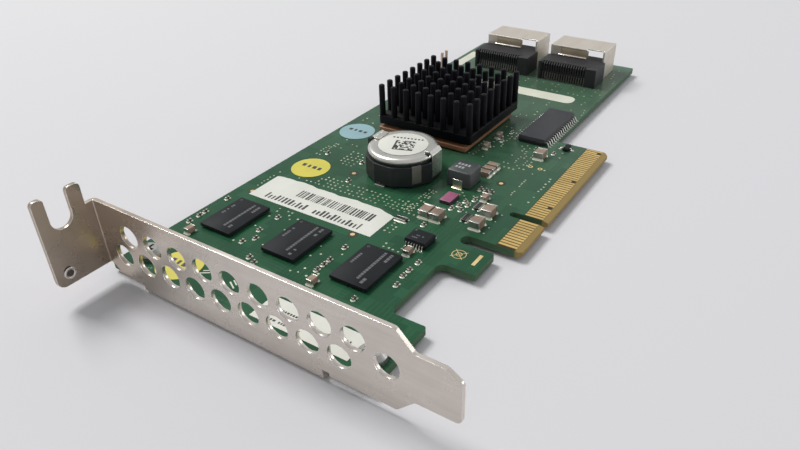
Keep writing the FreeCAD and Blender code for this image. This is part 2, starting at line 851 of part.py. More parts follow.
controller_x = -at.controller_x
controller_y = at.controller_y
underfill_side = at.controller_side - at.underfill_inset * 2
name_piece(block("controller_underfill", underfill_side, underfill_side, at.underfill_height,
                 controller_x, controller_y, 0.0), "controller_underfill")
substrate_z = at.underfill_height
name_piece(block("controller_substrate", at.controller_side, at.controller_side,
                 at.substrate_thickness, controller_x, controller_y, substrate_z),
           "controller_substrate")
cap_z = substrate_z + at.substrate_thickness
cap_thickness = at.sink_base - at.pad_thickness - cap_z
name_piece(block("controller_cap", at.cap_side, at.cap_side, cap_thickness,
                 controller_x, controller_y, cap_z), "controller_cap")
name_piece(block("thermal_pad", at.pad_side, at.pad_side, at.pad_thickness,
                 controller_x, controller_y, cap_z + cap_thickness), "thermal_pad")

sink = new_body("heat_sink")
sink_left = -at.sink_x - at.sink_width / 2
sink_near = at.sink_y - at.sink_length / 2
plate = outline(sink, "base_outline", "XY_Plane", [
    (sink_left, sink_near),
    (sink_left + at.sink_width, sink_near),
    (sink_left + at.sink_width, sink_near + at.sink_length),
    (sink_left, sink_near + at.sink_length),
], at.sink_base)
base_plate = pad(sink, "base_plate", plate, at.sink_base_thickness)
rounded(sink, "base_corners", base_plate, at.fin_diameter / 4, lambda p, e: upright(e))
fins_across = int((at.sink_width.value - at.fin_diameter.value) / at.fin_pitch.value) + 1
fins_along = int((at.sink_length.value - at.fin_diameter.value) / at.fin_pitch.value) + 1
first_x = -at.sink_x - at.fin_pitch * (fins_across - 1) / 2
first_y = at.sink_y - at.fin_pitch * (fins_along - 1) / 2
fin = outline(sink, "fin", "XY_Plane", ring(first_x, first_y, at.fin_diameter / 2, 10), at.sink_base)
fin_pad = pad(sink, "fin_pad", fin, at.sink_height)
fins = sink.newObject("PartDesign::MultiTransform", "fins")
fins.Originals = [fin_pad]
across = doc.addObject("PartDesign::LinearPattern", "fins_across")
along = doc.addObject("PartDesign::LinearPattern", "fins_along")
for pattern, axis, count in ((across, "H_Axis", fins_across), (along, "V_Axis", fins_along)):
    pattern.Direction = (fin, [axis])
    bind(pattern, "Length", at.fin_pitch * (count - 1))
    pattern.Occurrences = count
fins.Transformations = [across, along]
sink.Tip = fins
name_piece(sink, "heat_sink")

# ---------------------------------------------------------------------------------------
# Memory chips
# ---------------------------------------------------------------------------------------

memory_rows = []
for index in range(3):
    chip_x = -(at.memory_x + at.memory_pitch * index)
    chip_y = -at.memory_y
    memory_rows.append(block(f"memory_balls_{index + 1}",
                             at.memory_width - at.memory_standoff_inset * 2,
                             at.memory_length - at.memory_standoff_inset * 2,
                             at.memory_standoff, chip_x, chip_y, 0.0))
    name_piece(block(f"memory_chip_{index + 1}", at.memory_width, at.memory_length,
                     at.memory_thickness, chip_x, chip_y, at.memory_standoff),
               f"memory_chip_{index + 1}")
group("memory_standoffs", memory_rows)

# ---------------------------------------------------------------------------------------
# Round alarm: moulded base, turned metal cover, two clips and a printed label
# ---------------------------------------------------------------------------------------


def turned(label, profile, x, y):
    """A round piece about an upright axis, from a profile of (radius, height) corners."""
    body = new_body(label)
    sketch = outline(body, label + "_profile", "XZ_Plane", profile)
    feature = body.newObject("PartDesign::Revolution", label + "_turned")
    feature.Profile = sketch
    feature.ReferenceAxis = (sketch, ["V_Axis"])
    feature.Angle = 360.0
    bind(body, "Placement.Base.x", x)
    bind(body, "Placement.Base.y", y)
    return name_piece(body, label)


cover_low = at.alarm_height - at.alarm_cover_height
groove_low = cover_low - at.alarm_groove_height
base = new_body("alarm_base")
plan = outline(base, "base_plan", "XY_Plane",
               ring(-at.alarm_x, at.alarm_y, at.alarm_base_radius, 12, 0.5))
wall = pad(base, "base_wall", plan, groove_low)
bevelled(base, "foot_edge", wall, at.alarm_foot_bevel, lambda p, e: near(p.z, 0.0))
clip_y = at.alarm_y + at.alarm_clip_shift
notch_half = at.alarm_clip_width / 2 + at.alarm_clip_clearance
notch_in = at.alarm_radius - at.alarm_clip_clearance
for word, side in (("high", 1), ("low", -1)):
    notch = outline(base, f"clip_notch_{word}", "XY_Plane", [
        (-at.alarm_x + notch_in * side, clip_y - notch_half),
        (-at.alarm_x + at.alarm_base_radius * side, clip_y - notch_half),
        (-at.alarm_x + at.alarm_base_radius * side, clip_y + notch_half),
        (-at.alarm_x + notch_in * side, clip_y + notch_half),
    ], groove_low)
    pocket(base, f"clip_notch_{word}_cut", notch, groove_low - at.alarm_clip_low)
neck = circle(base, "neck", "XY_Plane", -at.alarm_x, at.alarm_y, at.alarm_neck_radius * 2, groove_low)
pad(base, "neck_pad", neck, at.alarm_groove_height)
name_piece(base, "alarm_base")
turned("alarm_cover", [
    (0.0, cover_low),
    (at.alarm_radius - at.alarm_cover_bevel / 4, cover_low),
    (at.alarm_radius, cover_low + at.alarm_cover_bevel / 4),
    (at.alarm_radius, at.alarm_height - at.alarm_cover_bevel),
    (at.alarm_radius - at.alarm_cover_bevel * 0.3, at.alarm_height - at.alarm_cover_bevel * 0.3),
    (at.alarm_radius - at.alarm_cover_bevel, at.alarm_height),
    (0.0, at.alarm_height),
], -at.alarm_x, at.alarm_y)
name_piece(disc("alarm_label", at.alarm_label_radius, at.sticker_thickness,
                -at.alarm_x, at.alarm_y, at.alarm_height), "alarm_label")
for label, turn in (("alarm_clip_high", 0.0), ("alarm_clip_low", 180.0)):
    clip = new_body(label)
    clip_out = at.alarm_radius + at.alarm_clip_thickness
    clip_top = at.alarm_height + at.alarm_clip_thickness
    clip_in = at.alarm_radius - at.alarm_cover_bevel
    profile = outline(clip, label + "_profile", "XZ_Plane", [
        (at.alarm_radius, at.alarm_clip_low),
        (clip_out, at.alarm_clip_low),
        (clip_out, at.alarm_height - at.alarm_cover_bevel / 2),
        (clip_in + at.alarm_cover_bevel / 2, clip_top),
        (clip_in - at.alarm_clip_hook, clip_top),
        (clip_in - at.alarm_clip_hook, at.alarm_height),
        (clip_in, at.alarm_height),
        (at.alarm_radius - at.alarm_cover_bevel * 0.3, at.alarm_height - at.alarm_cover_bevel * 0.3),
        (at.alarm_radius, at.alarm_height - at.alarm_cover_bevel),
    ], -at.alarm_clip_width / 2)
    pad(clip, label + "_strap", profile, at.alarm_clip_width)
    bind(clip, "Placement.Base.x", -at.alarm_x)
    bind(clip, "Placement.Base.y", clip_y)
    bind(clip, "Placement.Rotation.Angle", turn)
    name_piece(clip, label)

# ---------------------------------------------------------------------------------------
# Power inductor, ferrite bead and chip capacitors
# ---------------------------------------------------------------------------------------

coil = doc.addObject("Part::Chamfer", "inductor_body")
coil_block = block("inductor_block", at.inductor_width, at.inductor_length,
                   at.inductor_height - at.inductor_tab_thickness,
                   -at.inductor_x, at.inductor_y, at.inductor_tab_thickness)
doc.recompute()
coil.Base = coil_block
coil_edges = []
for index, edge in enumerate(coil_block.Shape.Edges, start=1):
    middle = edge.valueAt((edge.FirstParameter + edge.LastParameter) / 2)
    if near(middle.z, at.inductor_height) or upright(edge):
        coil_edges.append((index, at.inductor_chamfer.value, at.inductor_chamfer.value))
coil.Edges = coil_edges
name_piece(coil, "inductor_body")
tabs = []
for side in (-1, 1):
    word = "low" if side < 0 else "high"
    face_y = at.inductor_y + at.inductor_length / 2 * side
    wall = block("inductor_wall_" + word, at.inductor_tab_width, at.inductor_tab_thickness,
                 at.inductor_tab_height, -at.inductor_x,
                 face_y + at.inductor_tab_thickness / 2 * side, 0.0)
    foot = block("inductor_foot_" + word, at.inductor_tab_width, at.inductor_tab_foot,
                 at.inductor_tab_thickness, -at.inductor_x,
                 face_y - at.inductor_tab_foot / 2 * side, 0.0)
    tab_pair = doc.addObject("Part::Fuse", "inductor_tab_" + word)
    tab_pair.Base = wall
    tab_pair.Tool = foot
    tabs.append(tab_pair)
group("inductor_terminals", tabs)

bodies = {"capacitor": [], "array": []}
ends = []


def chip_part(kind, name, x, y, width, length, height, end, proud, along_x_axis):
    """A ceramic block between two plated ends, lying along X or along Y."""
    core = length - end * 2
    if along_x_axis:
        bodies[kind].append(block(name, core, width, height, x, y, 0.0))
    else:
        bodies[kind].append(block(name, width, core, height, x, y, 0.0))
    for side in (-1, 1):
        word = "_low" if side < 0 else "_high"
        shift = (length - end) / 2 * side
        wide = width + proud * 2
        if along_x_axis:
            ends.append(block(name + word, end, wide, height + proud, x + shift, y, 0.0))
        else:
            ends.append(block(name + word, wide, end, height + proud, x, y + shift, 0.0))


for name in [*PLACES, *UPPER_PLACES]:
    x, y = place_of(name)
    if name.startswith("bulk"):
        chip_part("capacitor", name, x, y, at.bulk_width, at.bulk_length, at.bulk_height,
                  at.bulk_end, at.bulk_end_proud, False)
    elif name.startswith("trio"):
        chip_part("capacitor", name, x, y, at.trio_width, at.trio_length, at.trio_height,
                  at.chip_end, at.chip_end_proud, True)
    elif name.startswith("tan"):
        chip_part("capacitor", name, x, y, at.tan_width, at.tan_length, at.tan_height,
                  at.chip_end, at.chip_end_proud, False)
    elif name.startswith("cap"):
        chip_part("capacitor", name, x, y, at.chip_width, at.chip_length, at.chip_height,
                  at.chip_end, at.chip_end_proud, False)
    elif name.startswith("line"):
        chip_part("capacitor", name, x, y, at.chip_width, at.array_width, at.chip_height,
                  at.chip_end, at.chip_end_proud, False)
    elif name.startswith("array"):
        chip_part("array", name, x, y, at.array_length, at.array_width, at.array_height,
                  at.array_end, at.chip_end_proud, False)
    elif name.startswith("crossed"):
        chip_part("array", name, x, y, at.array_length, at.array_width, at.array_height,
                  at.array_end, at.chip_end_proud, True)
name_piece(block("bead_core", at.bead_width, at.bead_length, at.bead_height,
                 -at.bead_x, -at.bead_y, 0.0), "ferrite_bead")
group("capacitor_bodies", bodies["capacitor"])
group("resistor_arrays", bodies["array"])
group("chip_terminals", ends)

# ---------------------------------------------------------------------------------------
# Chips with gull-wing leads
# ---------------------------------------------------------------------------------------


def gull_leads(label, x, y, quarter_turn, half_body, top, pitch, width, reach, low_side, high_side):
    """Formed leads in a row on one or both sides of a chip, each foot flat on the board."""
    body = new_body(label)
    bend = reach - at.lead_foot
    middle = top / 2
    for name, side, count in (("high", 1, high_side), ("low", -1, low_side)):
        if count == 0:
            continue
        start = pitch * (count - 1) / 2 - width / 2
        profile = outline(body, name + "_lead", "XZ_Plane", [
            (half_body * side, middle + at.lead_thickness / 2),
            ((half_body + bend * 0.65) * side, middle + at.lead_thickness / 2),
            ((half_body + bend + at.lead_thickness) * side, at.lead_thickness),
            ((half_body + reach) * side, at.lead_thickness),
            ((half_body + reach) * side, 0.0),
            ((half_body + bend) * side, 0.0),
            ((half_body + bend * 0.55) * side, middle - at.lead_thickness / 2),
            (half_body * side, middle - at.lead_thickness / 2),
        ], start)
        one = pad(body, name + "_lead_pad", profile, width)
        if count > 1:
            run = row_of(body, name + "_leads", one, profile, "N_Axis", pitch * (count - 1), count)
            run.Reversed = True
    bind(body, "Placement.Base.x", x)
    bind(body, "Placement.Base.y", y)
    if quarter_turn:
        body.Placement.Rotation = FreeCAD.Rotation(FreeCAD.Vector(0, 0, 1), 90)
    return name_piece(body, label)


def moulded(label, x, y, width, length, top, standoff):
    """A moulded package: a block whose upper rim is drafted in."""
    base = block(label + "_block", width, length, top - standoff, x, y, standoff)
    doc.recompute()
    piece = doc.addObject("Part::Chamfer", label)
    piece.Base = base
    rim = []
    for index, edge in enumerate(base.Shape.Edges, start=1):
        middle = edge.valueAt((edge.FirstParameter + edge.LastParameter) / 2)
        if near(middle.z, top):
            rim.append((index, at.mould_draft.value, at.mould_draft.value))
    piece.Edges = rim
    return name_piece(piece, label)


sram_leads = int(at.sram_length.value / at.sram_lead_pitch.value)
moulded("wide_chip", -at.sram_x, at.sram_y, at.sram_width, at.sram_length,
        at.sram_top, at.sram_standoff)
gull_leads("wide_chip_leads", -at.sram_x, at.sram_y, False, at.sram_width / 2, at.sram_top,
           at.sram_lead_pitch, at.sram_lead_width, at.sram_lead_reach, sram_leads, sram_leads)
logic_leads = int((at.logic_width.value - at.logic_lead_width.value) / at.logic_lead_pitch.value)
moulded("small_chip", -at.logic_x, -at.logic_y, at.logic_width, at.logic_length,
        at.logic_top, at.logic_standoff)
gull_leads("small_chip_leads", -at.logic_x, -at.logic_y, True, at.logic_length / 2, at.logic_top,
           at.logic_lead_pitch, at.logic_lead_width, at.logic_lead_reach, logic_leads, logic_leads)
moulded("transistor", -at.transistor_x, at.transistor_y, at.transistor_width,
        at.transistor_length, at.transistor_top, at.logic_standoff)
gull_leads("transistor_leads", -at.transistor_x, at.transistor_y, False,
           at.transistor_width / 2, at.transistor_top, at.transistor_lead_pitch,
           at.transistor_lead_width, at.transistor_lead_reach + at.lead_foot, 2, 1)

# ---------------------------------------------------------------------------------------
# Two storage ports: moulded housing with a tongue, contacts and a folded steel cage
# ---------------------------------------------------------------------------------------

for port, port_x in enumerate(port_centres, start=1):
    left = port_x - at.port_width / 2
    right = port_x + at.port_width / 2
    field_left = left + at.housing_cheek
    contact_count = 18
    field_right = field_left + at.port_contact_pitch * contact_count
    rear = port_near + at.housing_recess_depth

    housing = new_body(f"port_housing_{port}")
    plan = outline(housing, "plan", "XY_Plane", [
        (left, port_near), (field_left, port_near), (field_left, rear),
        (field_right, rear), (field_right, port_near), (right, port_near),
        (right, cage_near), (left, cage_near),
    ])
    pad(housing, "shell", plan, at.housing_height)
    tongue = outline(housing, "tongue", "XZ_Plane", [
        (port_x - at.tongue_width / 2, at.tongue_low),
        (port_x + at.tongue_width / 2, at.tongue_low),
        (port_x + at.tongue_width / 2, at.tongue_low + at.tongue_thickness),
        (port_x - at.tongue_width / 2, at.tongue_low + at.tongue_thickness),
    ], -cage_near)
    tongue_pad = pad(housing, "tongue_pad", tongue,
                     port_mouth - at.tongue_setback - cage_near, backwards=True)
    name_piece(housing, f"port_housing_{port}")

    contacts = new_body(f"port_contacts_{port}")
    shoulder = rear - at.port_contact_standoff
    foot = shoulder - at.port_contact_lean
    thick = at.port_contact_thickness
    profile = outline(contacts, "contact", "YZ_Plane", [
        (rear, at.port_contact_shoulder),
        (shoulder, at.port_contact_shoulder),
        (foot, thick),
        (foot - at.port_contact_foot, thick),
        (foot - at.port_contact_foot, 0.0),
        (foot + thick, 0.0),
        (shoulder + thick, at.port_contact_shoulder - thick),
        (rear, at.port_contact_shoulder - thick),
    ], field_left + at.port_contact_pitch / 2 - at.port_contact_width / 2)
    one = pad(contacts, "contact_pad", profile, at.port_contact_width)
    row_of(contacts, "contact_row", one, profile, "N_Axis",
           at.port_contact_pitch * (contact_count - 1), contact_count)
    name_piece(contacts, f"port_contacts_{port}")

    cage = new_body(f"port_cage_{port}")
    cage_left = port_x - at.cage_width / 2
    cage_right = port_x + at.cage_width / 2
    wall = at.cage_wall
    shell = outline(cage, "shell", "XZ_Plane", [
        (cage_left, 0.0), (cage_left + wall, 0.0),
        (cage_left + wall, at.cage_height - wall), (cage_right - wall, at.cage_height - wall),
        (cage_right - wall, 0.0), (cage_right, 0.0),
        (cage_right, at.cage_height), (cage_left, at.cage_height),
    ], -port_mouth)
    pad(cage, "hood", shell, port_mouth - cage_near)
    back = outline(cage, "back", "XZ_Plane", [
        (cage_left, at.housing_height), (cage_right, at.housing_height),
        (cage_right, at.cage_height), (cage_left, at.cage_height),
    ], -(cage_near + wall))
    pad(cage, "back_wall", back, wall)
    window = outline(cage, "window", "XZ_Plane", [
        (port_x + at.cage_window_offset, at.housing_height),
        (port_x + at.cage_window_offset + at.cage_window, at.housing_height),
        (port_x + at.cage_window_offset + at.cage_window, at.cage_height),
        (port_x + at.cage_window_offset, at.cage_height),
    ], -cage_near)
    pocket(cage, "window_cut", window, wall + at.cage_window_inset)
    bars = []
    for side in (-1, 1):
        for row, leg_y in enumerate(cage_leg_rows, start=1):
            word = "low" if side < 0 else "high"
            edge_x = port_x + at.cage_width / 2 * side
            leg = outline(cage, f"leg_{word}_{row}", "XY_Plane", [
                (edge_x, leg_y - at.cage_leg_width / 2),
                (edge_x, leg_y + at.cage_leg_width / 2),
                (edge_x - wall * side, leg_y + at.cage_leg_width / 2),
                (edge_x - wall * side, leg_y - at.cage_leg_width / 2),
            ])
            pad(cage, f"leg_{word}_{row}_pad", leg,
                at.board_thickness + at.cage_leg_protrusion, backwards=True)
    name_piece(cage, f"port_cage_{port}")

# ---------------------------------------------------------------------------------------
# Service header behind the heat sink
# ---------------------------------------------------------------------------------------

name_piece(block("header_base", at.header_width, at.header_length, at.header_base,
                 header_x, at.header_y, 0.0), "header_base")
pins = []
for side in (-1, 1):
    pin_y = at.header_y + at.header_pin_pitch / 2 * side
    word = "low" if side < 0 else "high"
    pins.append(block("header_pin_" + word, at.header_pin, at.header_pin,
                      at.header_pin_top - at.header_base, header_x, pin_y, at.header_base))
    pins.append(block("header_tail_" + word, at.header_pin, at.header_pin,
                      at.board_thickness + at.header_pin_protrusion, header_x, pin_y,
                      -(at.board_thickness + at.header_pin_protrusion)))
group("header_pins", pins)

# ---------------------------------------------------------------------------------------
# Paper labels and inspection stickers
# ---------------------------------------------------------------------------------------

name_piece(block("barcode_label", at.barcode_width, at.barcode_length, at.sticker_thickness,
                 at.array_one_x - at.array_length / 2 - at.barcode_clearance - at.barcode_width / 2,
                 -at.barcode_y, 0.0), "barcode_label")
name_piece(block("notice_label", at.notice_width, at.notice_length, at.sticker_thickness,
                 -at.notice_x, -at.notice_y, 0.0), "notice_label")
sticker_places = {
    "yellow_sticker_one": place_of("yellow_sticker_one"),
    "yellow_sticker_two": place_of("yellow_sticker_two"),
    "blue_sticker": (sink_left - at.blue_sticker_clearance - at.sticker_radius, at.blue_sticker_y),
}
for label, (x, y) in sticker_places.items():
    name_piece(disc(label, at.sticker_radius, at.sticker_thickness, x, y, 0.0), label)

# ---------------------------------------------------------------------------------------
# Rebuild, check and write every piece
# ---------------------------------------------------------------------------------------

doc.recompute()
for item in doc.Objects:
    bad = [word for word in item.State if word in ("Invalid", "Error")]
    if bad:
        raise RuntimeError(f"{item.Label} did not rebuild: {bad}")
os.makedirs("parts", exist_ok=True)
for piece in NODES:
    shape = piece.Shape
    if shape.isNull() or not shape.isValid() or shape.Volume <= 0.0:
        raise RuntimeError(f"{piece.Label} has no sound shape")
    shape.exportStep(f"parts/{piece.Label}.step")
    box = shape.BoundBox
    print(f"{piece.Label}: {len(shape.Solids)} solids, {shape.Volume:.2f} mm3,"
          f" x {box.XMin:.2f}..{box.XMax:.2f}, y {box.YMin:.2f}..{box.YMax:.2f},"
          f" z {box.ZMin:.2f}..{box.ZMax:.2f}")
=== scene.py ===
import math

import bpy
import numpy as np
from mathutils import Matrix, Vector


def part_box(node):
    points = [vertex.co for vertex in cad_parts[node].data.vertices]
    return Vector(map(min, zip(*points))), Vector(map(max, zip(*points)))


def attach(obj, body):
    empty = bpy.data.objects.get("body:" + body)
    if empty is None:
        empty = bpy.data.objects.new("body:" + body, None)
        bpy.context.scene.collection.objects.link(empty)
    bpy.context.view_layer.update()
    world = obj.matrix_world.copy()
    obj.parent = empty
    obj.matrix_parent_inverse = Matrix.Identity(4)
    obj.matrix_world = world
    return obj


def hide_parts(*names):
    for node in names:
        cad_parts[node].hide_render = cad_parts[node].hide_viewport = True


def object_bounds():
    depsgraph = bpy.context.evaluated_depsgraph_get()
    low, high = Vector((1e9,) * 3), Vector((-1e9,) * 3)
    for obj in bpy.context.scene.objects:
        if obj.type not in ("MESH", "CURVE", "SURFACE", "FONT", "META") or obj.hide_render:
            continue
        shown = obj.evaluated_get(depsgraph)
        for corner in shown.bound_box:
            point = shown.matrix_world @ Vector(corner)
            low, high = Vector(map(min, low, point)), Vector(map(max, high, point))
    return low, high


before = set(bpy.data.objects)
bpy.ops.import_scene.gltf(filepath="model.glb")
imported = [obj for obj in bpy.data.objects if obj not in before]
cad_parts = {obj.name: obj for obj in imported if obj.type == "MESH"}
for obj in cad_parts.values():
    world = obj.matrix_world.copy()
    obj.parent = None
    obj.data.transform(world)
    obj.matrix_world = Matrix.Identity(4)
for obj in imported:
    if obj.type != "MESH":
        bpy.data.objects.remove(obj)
cad_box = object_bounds()
MM = 0.001

# ------------------------------------
# Circuit board. Glass-fibre laminate with a green solder mask over copper areas and
# tracks; bare and yellowish where the tip is milled to a bevel.


def new_material(name):
    """An empty node material with a Principled shader wired to its output."""
    material = bpy.data.materials.new(name)
    material.use_nodes = True
    tree = material.node_tree
    tree.nodes.clear()
    output = tree.nodes.new("ShaderNodeOutputMaterial")
    shader = tree.nodes.new("ShaderNodeBsdfPrincipled")
    tree.links.new(shader.outputs["BSDF"], output.inputs["Surface"])
    return material, tree, shader


def feed(tree, value, socket):
    """Links a socket to another node's output, or sets it to a plain value."""
    if isinstance(value, bpy.types.NodeSocket):
        tree.links.new(value, socket)
    else:
        socket.default_value = value


def node(tree, kind, settings=None, **inputs):
    """Adds a node and sets its options and inputs; i0, i1 and so on name inputs by number."""
    item = tree.nodes.new(kind)
    for key, value in (settings or {}).items():
        setattr(item, key, value)
    for key, value in inputs.items():
        numbered = key[0] == "i" and key[1:].isdigit()
        feed(tree, value, item.inputs[int(key[1:]) if numbered else key])
    return item


def maths(tree, operation, first, second=0.0, clamp=False):
    return node(tree, "ShaderNodeMath", {"operation": operation, "use_clamp": clamp},
                i0=first, i1=second).outputs[0]


def times(tree, first, second):
    return maths(tree, "MULTIPLY", first, second)


def plus(tree, first, second):
    return maths(tree, "ADD", first, second)


def blend(tree, factor, first, second):
    """Mixes two colours by a mask."""
    mix = tree.nodes.new("ShaderNodeMix")
    mix.data_type = "RGBA"
    for number, value in ((0, factor), (6, first), (7, second)):
        feed(tree, value, mix.inputs[number])
    return mix.outputs[2]


def rgb(red, green, blue):
    return (red, green, blue, 1.0)


def coordinates(tree, kind="Object"):
    """Texture coordinates; Object ones are the piece's own, in metres."""
    return tree.nodes.new("ShaderNodeTexCoord").outputs[kind]


def split(tree, vector):
    """The x, y and z of a vector."""
    return node(tree, "ShaderNodeSeparateXYZ", None, Vector=vector).outputs


def facing_up(tree):
    """The upward part of the surface's normal: one on top faces, nought on upright ones."""
    return split(tree, tree.nodes.new("ShaderNodeNewGeometry").outputs["Normal"])[2]


def noise(tree, vector, scale, detail=3.0, roughness=0.55):
    """Cloudy values about a half, with a pattern size of one over the scale."""
    return node(tree, "ShaderNodeTexNoise", None, Vector=vector, Scale=scale, Detail=detail,
                Roughness=roughness).outputs[0]


def ramp(tree, value, low, high):
    """A mask rising from nought at low to one at high."""
    return node(tree, "ShaderNodeMapRange", {"clamp": True}, Value=value, i1=low, i2=high,
                i3=0.0, i4=1.0).outputs[0]


def bump(tree, shader, height, distance, strength=1.0):
    item = node(tree, "ShaderNodeBump", None, Height=height, Distance=distance, Strength=strength)
    tree.links.new(item.outputs["Normal"], shader.inputs["Normal"])


def make_grain_group():
    """Handling marks: fine grain for the bump, and a soft smudge mask for the gloss."""
    group = bpy.data.node_groups.new("fine_grain", "ShaderNodeTree")
    for name, kind in (("Vector", "NodeSocketVector"), ("Size", "NodeSocketFloat")):
        group.interface.new_socket(name, in_out="INPUT", socket_type=kind)
    for name in ("Grain", "Smudge"):
        group.interface.new_socket(name, in_out="OUTPUT", socket_type="NodeSocketFloat")
    source = group.nodes.new("NodeGroupInput").outputs
    sink = group.nodes.new("NodeGroupOutput").inputs
    grain = noise(group, source["Vector"], source["Size"], 2.0)
    smudge = noise(group, source["Vector"], 160.0, 4.0)
    group.links.new(grain, sink["Grain"])
    group.links.new(ramp(group, smudge, 0.35, 0.7), sink["Smudge"])
    return group


grain_group = make_grain_group()


def grained(tree, size):
    """The piece's coordinates, a grain of the given scale, and the smudge mask."""
    place = coordinates(tree)
    marks = node(tree, "ShaderNodeGroup", {"node_tree": grain_group}, Vector=place, Size=size)
    return place, marks.outputs["Grain"], marks.outputs["Smudge"]


def uneven_gloss(tree, smudge, lowest, spread):
    """Roughness that rises from its lowest by the spread where the skin is smudged."""
    return node(tree, "ShaderNodeMath", {"operation": "MULTIPLY_ADD"},
                i0=smudge, i1=spread, i2=lowest).outputs[0]


def set_surface(tree, shader, colour, roughness, metallic=0.0, specular=0.5):
    """Feeds colour and roughness; the two constants go on the shader's own sockets."""
    feed(tree, colour, shader.inputs["Base Color"])
    feed(tree, roughness, shader.inputs["Roughness"])
    shader.inputs["Metallic"].default_value = metallic
    shader.inputs["Specular IOR Level"].default_value = specular


def plain_finish(name, colour, roughness, metallic=0.0, grain=6000.0, depth=0.00001, vary=0.12,
                 spread=0.08, specular=0.5):
    """One finish with grain, gentle colour drift and uneven gloss."""
    material, tree, shader = new_material(name)
    place, fine, smudge = grained(tree, grain)
    darker = rgb(*(c * (1.0 - vary) for c in colour))
    lighter = rgb(*(min(1.0, c * (1.0 + vary)) for c in colour))
    set_surface(tree, shader, blend(tree, smudge, darker, lighter),
                uneven_gloss(tree, smudge, roughness - spread / 2, spread), metallic, specular)
    bump(tree, shader, fine, depth)
    return material


def dress(node_name, material):
    """Gives a CAD node its finish."""
    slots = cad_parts[node_name].data.materials
    slots.clear()
    slots.append(material)


def board_finish():
    """Solder mask over copper: snapped noise gives the blocky edges of copper areas, and
    thin bands along X and Y give the tracks; the mask stops short of the contacts."""
    material, tree, shader = new_material("solder_mask")
    place, fine, smudge = grained(tree, 7000.0)
    x, y, z = split(tree, place)
    block = 0.0018
    snapped = node(tree, "ShaderNodeVectorMath", {"operation": "SNAP"}, i0=place,
                   i1=(block, block * 1.6, block)).outputs[0]
    copper = ramp(tree, noise(tree, snapped, 95.0, 2.0), 0.50, 0.53)
    zones = ramp(tree, noise(tree, place, 42.0, 2.0), 0.42, 0.62)
    along = ramp(tree, maths(tree, "PINGPONG", y, 0.00045), 0.00021, 0.00026)
    across = ramp(tree, maths(tree, "PINGPONG", x, 0.0005), 0.00024, 0.00029)
    turn = ramp(tree, noise(tree, snapped, 60.0, 1.0), 0.49, 0.51)
    routed = ramp(tree, noise(tree, snapped, 150.0, 1.0), 0.52, 0.56)
    tracks = plus(tree, times(tree, along, turn),
                  times(tree, across, maths(tree, "SUBTRACT", 1.0, turn)))
    tracks = times(tree, tracks, routed)
    # painted sheen: a pale veil over the mask that grows towards +y, where the board is seen at a
    # glancing angle
    dust_and_sheen = ramp(tree, y, -0.020, 0.085)
    surface = rgb(0.014, 0.070, 0.033)
    for mask, strength, colour in ((copper, 0.65, (0.024, 0.100, 0.048)),
                                   (tracks, 0.26, (0.030, 0.125, 0.056)),
                                   (zones, 0.35, (0.007, 0.048, 0.020)),
                                   (dust_and_sheen, 0.11, (0.42, 0.44, 0.38))):
        surface = blend(tree, times(tree, mask, strength), surface, rgb(*colour))
    # bare laminate between the contacts, down the milled edges and at the tip
    fingers = times(tree, ramp(tree, x, -0.0058, -0.0056),
                    times(tree, ramp(tree, y, -0.0127, -0.0126), ramp(tree, y, 0.0393, 0.0392)))
    steep = maths(tree, "ABSOLUTE", facing_up(tree))
    side = maths(tree, "SUBTRACT", 1.0, ramp(tree, steep, 0.3, 0.6))
    tip = ramp(tree, x, -0.0016, -0.0012)
    ply = ramp(tree, maths(tree, "PINGPONG", z, 0.00013), 0.00003, 0.0001)
    edge = blend(tree, ply, rgb(0.036, 0.085, 0.042), rgb(0.070, 0.140, 0.072))
    surface = blend(tree, fingers, surface, rgb(0.040, 0.028, 0.009))
    surface = blend(tree, side, surface, edge)
    surface = blend(tree, tip, surface, rgb(0.270, 0.190, 0.065))
    bare = maths(tree, "MAXIMUM", side, tip)
    rough = maths(tree, "ADD", uneven_gloss(tree, smudge, 0.20, 0.10), times(tree, bare, 0.3),
                  clamp=True)
    set_surface(tree, shader, surface, rough, specular=0.22)
    height = plus(tree, times(tree, copper, 0.6),
                  plus(tree, times(tree, tracks, 0.4), times(tree, fine, 0.15)))
    bump(tree, shader, height, 0.00003, 0.6)
    return material


dress("circuit_board", board_finish())

# ------------------------------------
# Edge contacts. Gold plating over nickel and copper, rubbed bright along the way in;
# made in one piece with the tracks under the mask.


def gold_finish():
    """Gold with rubbed streaks across the contacts, which also set its gloss."""
    material, tree, shader = new_material("contact_gold")
    place, fine, smudge = grained(tree, 5000.0)
    streak = node(tree, "ShaderNodeMapping", None, Vector=place, Scale=(90.0, 420.0, 300.0))
    rubbed = noise(tree, streak.outputs[0], 1.0, 3.0)
    colour = blend(tree, rubbed, rgb(0.74, 0.50, 0.17), rgb(0.92, 0.70, 0.30))
    colour = blend(tree, times(tree, smudge, 0.3), colour, rgb(0.64, 0.44, 0.18))
    set_surface(tree, shader, colour, ramp(tree, rubbed, -0.7, 2.2), metallic=0.9)
    bump(tree, shader, rubbed, 0.000008)
    return material


gold = gold_finish()
dress("edge_contacts_component_side", gold)
dress("edge_contacts_solder_side", gold)

# ------------------------------------
# Marks on the board's face: plated vias, fiducials in their mask openings, ringed test
# holes, silk-screened bars, an etched registration target and a gold bar.


def like_arrays(*values):
    """Numbers and lists made arrays of one common length."""
    return np.broadcast_arrays(*(np.atleast_1d(np.asarray(v, float)) for v in values))


def at_height(flat, z):
    """Rows of flat points, all given one height."""
    return np.concatenate([flat, np.full(flat.shape[:2] + (1,), z)], -1).reshape(-1, 3)


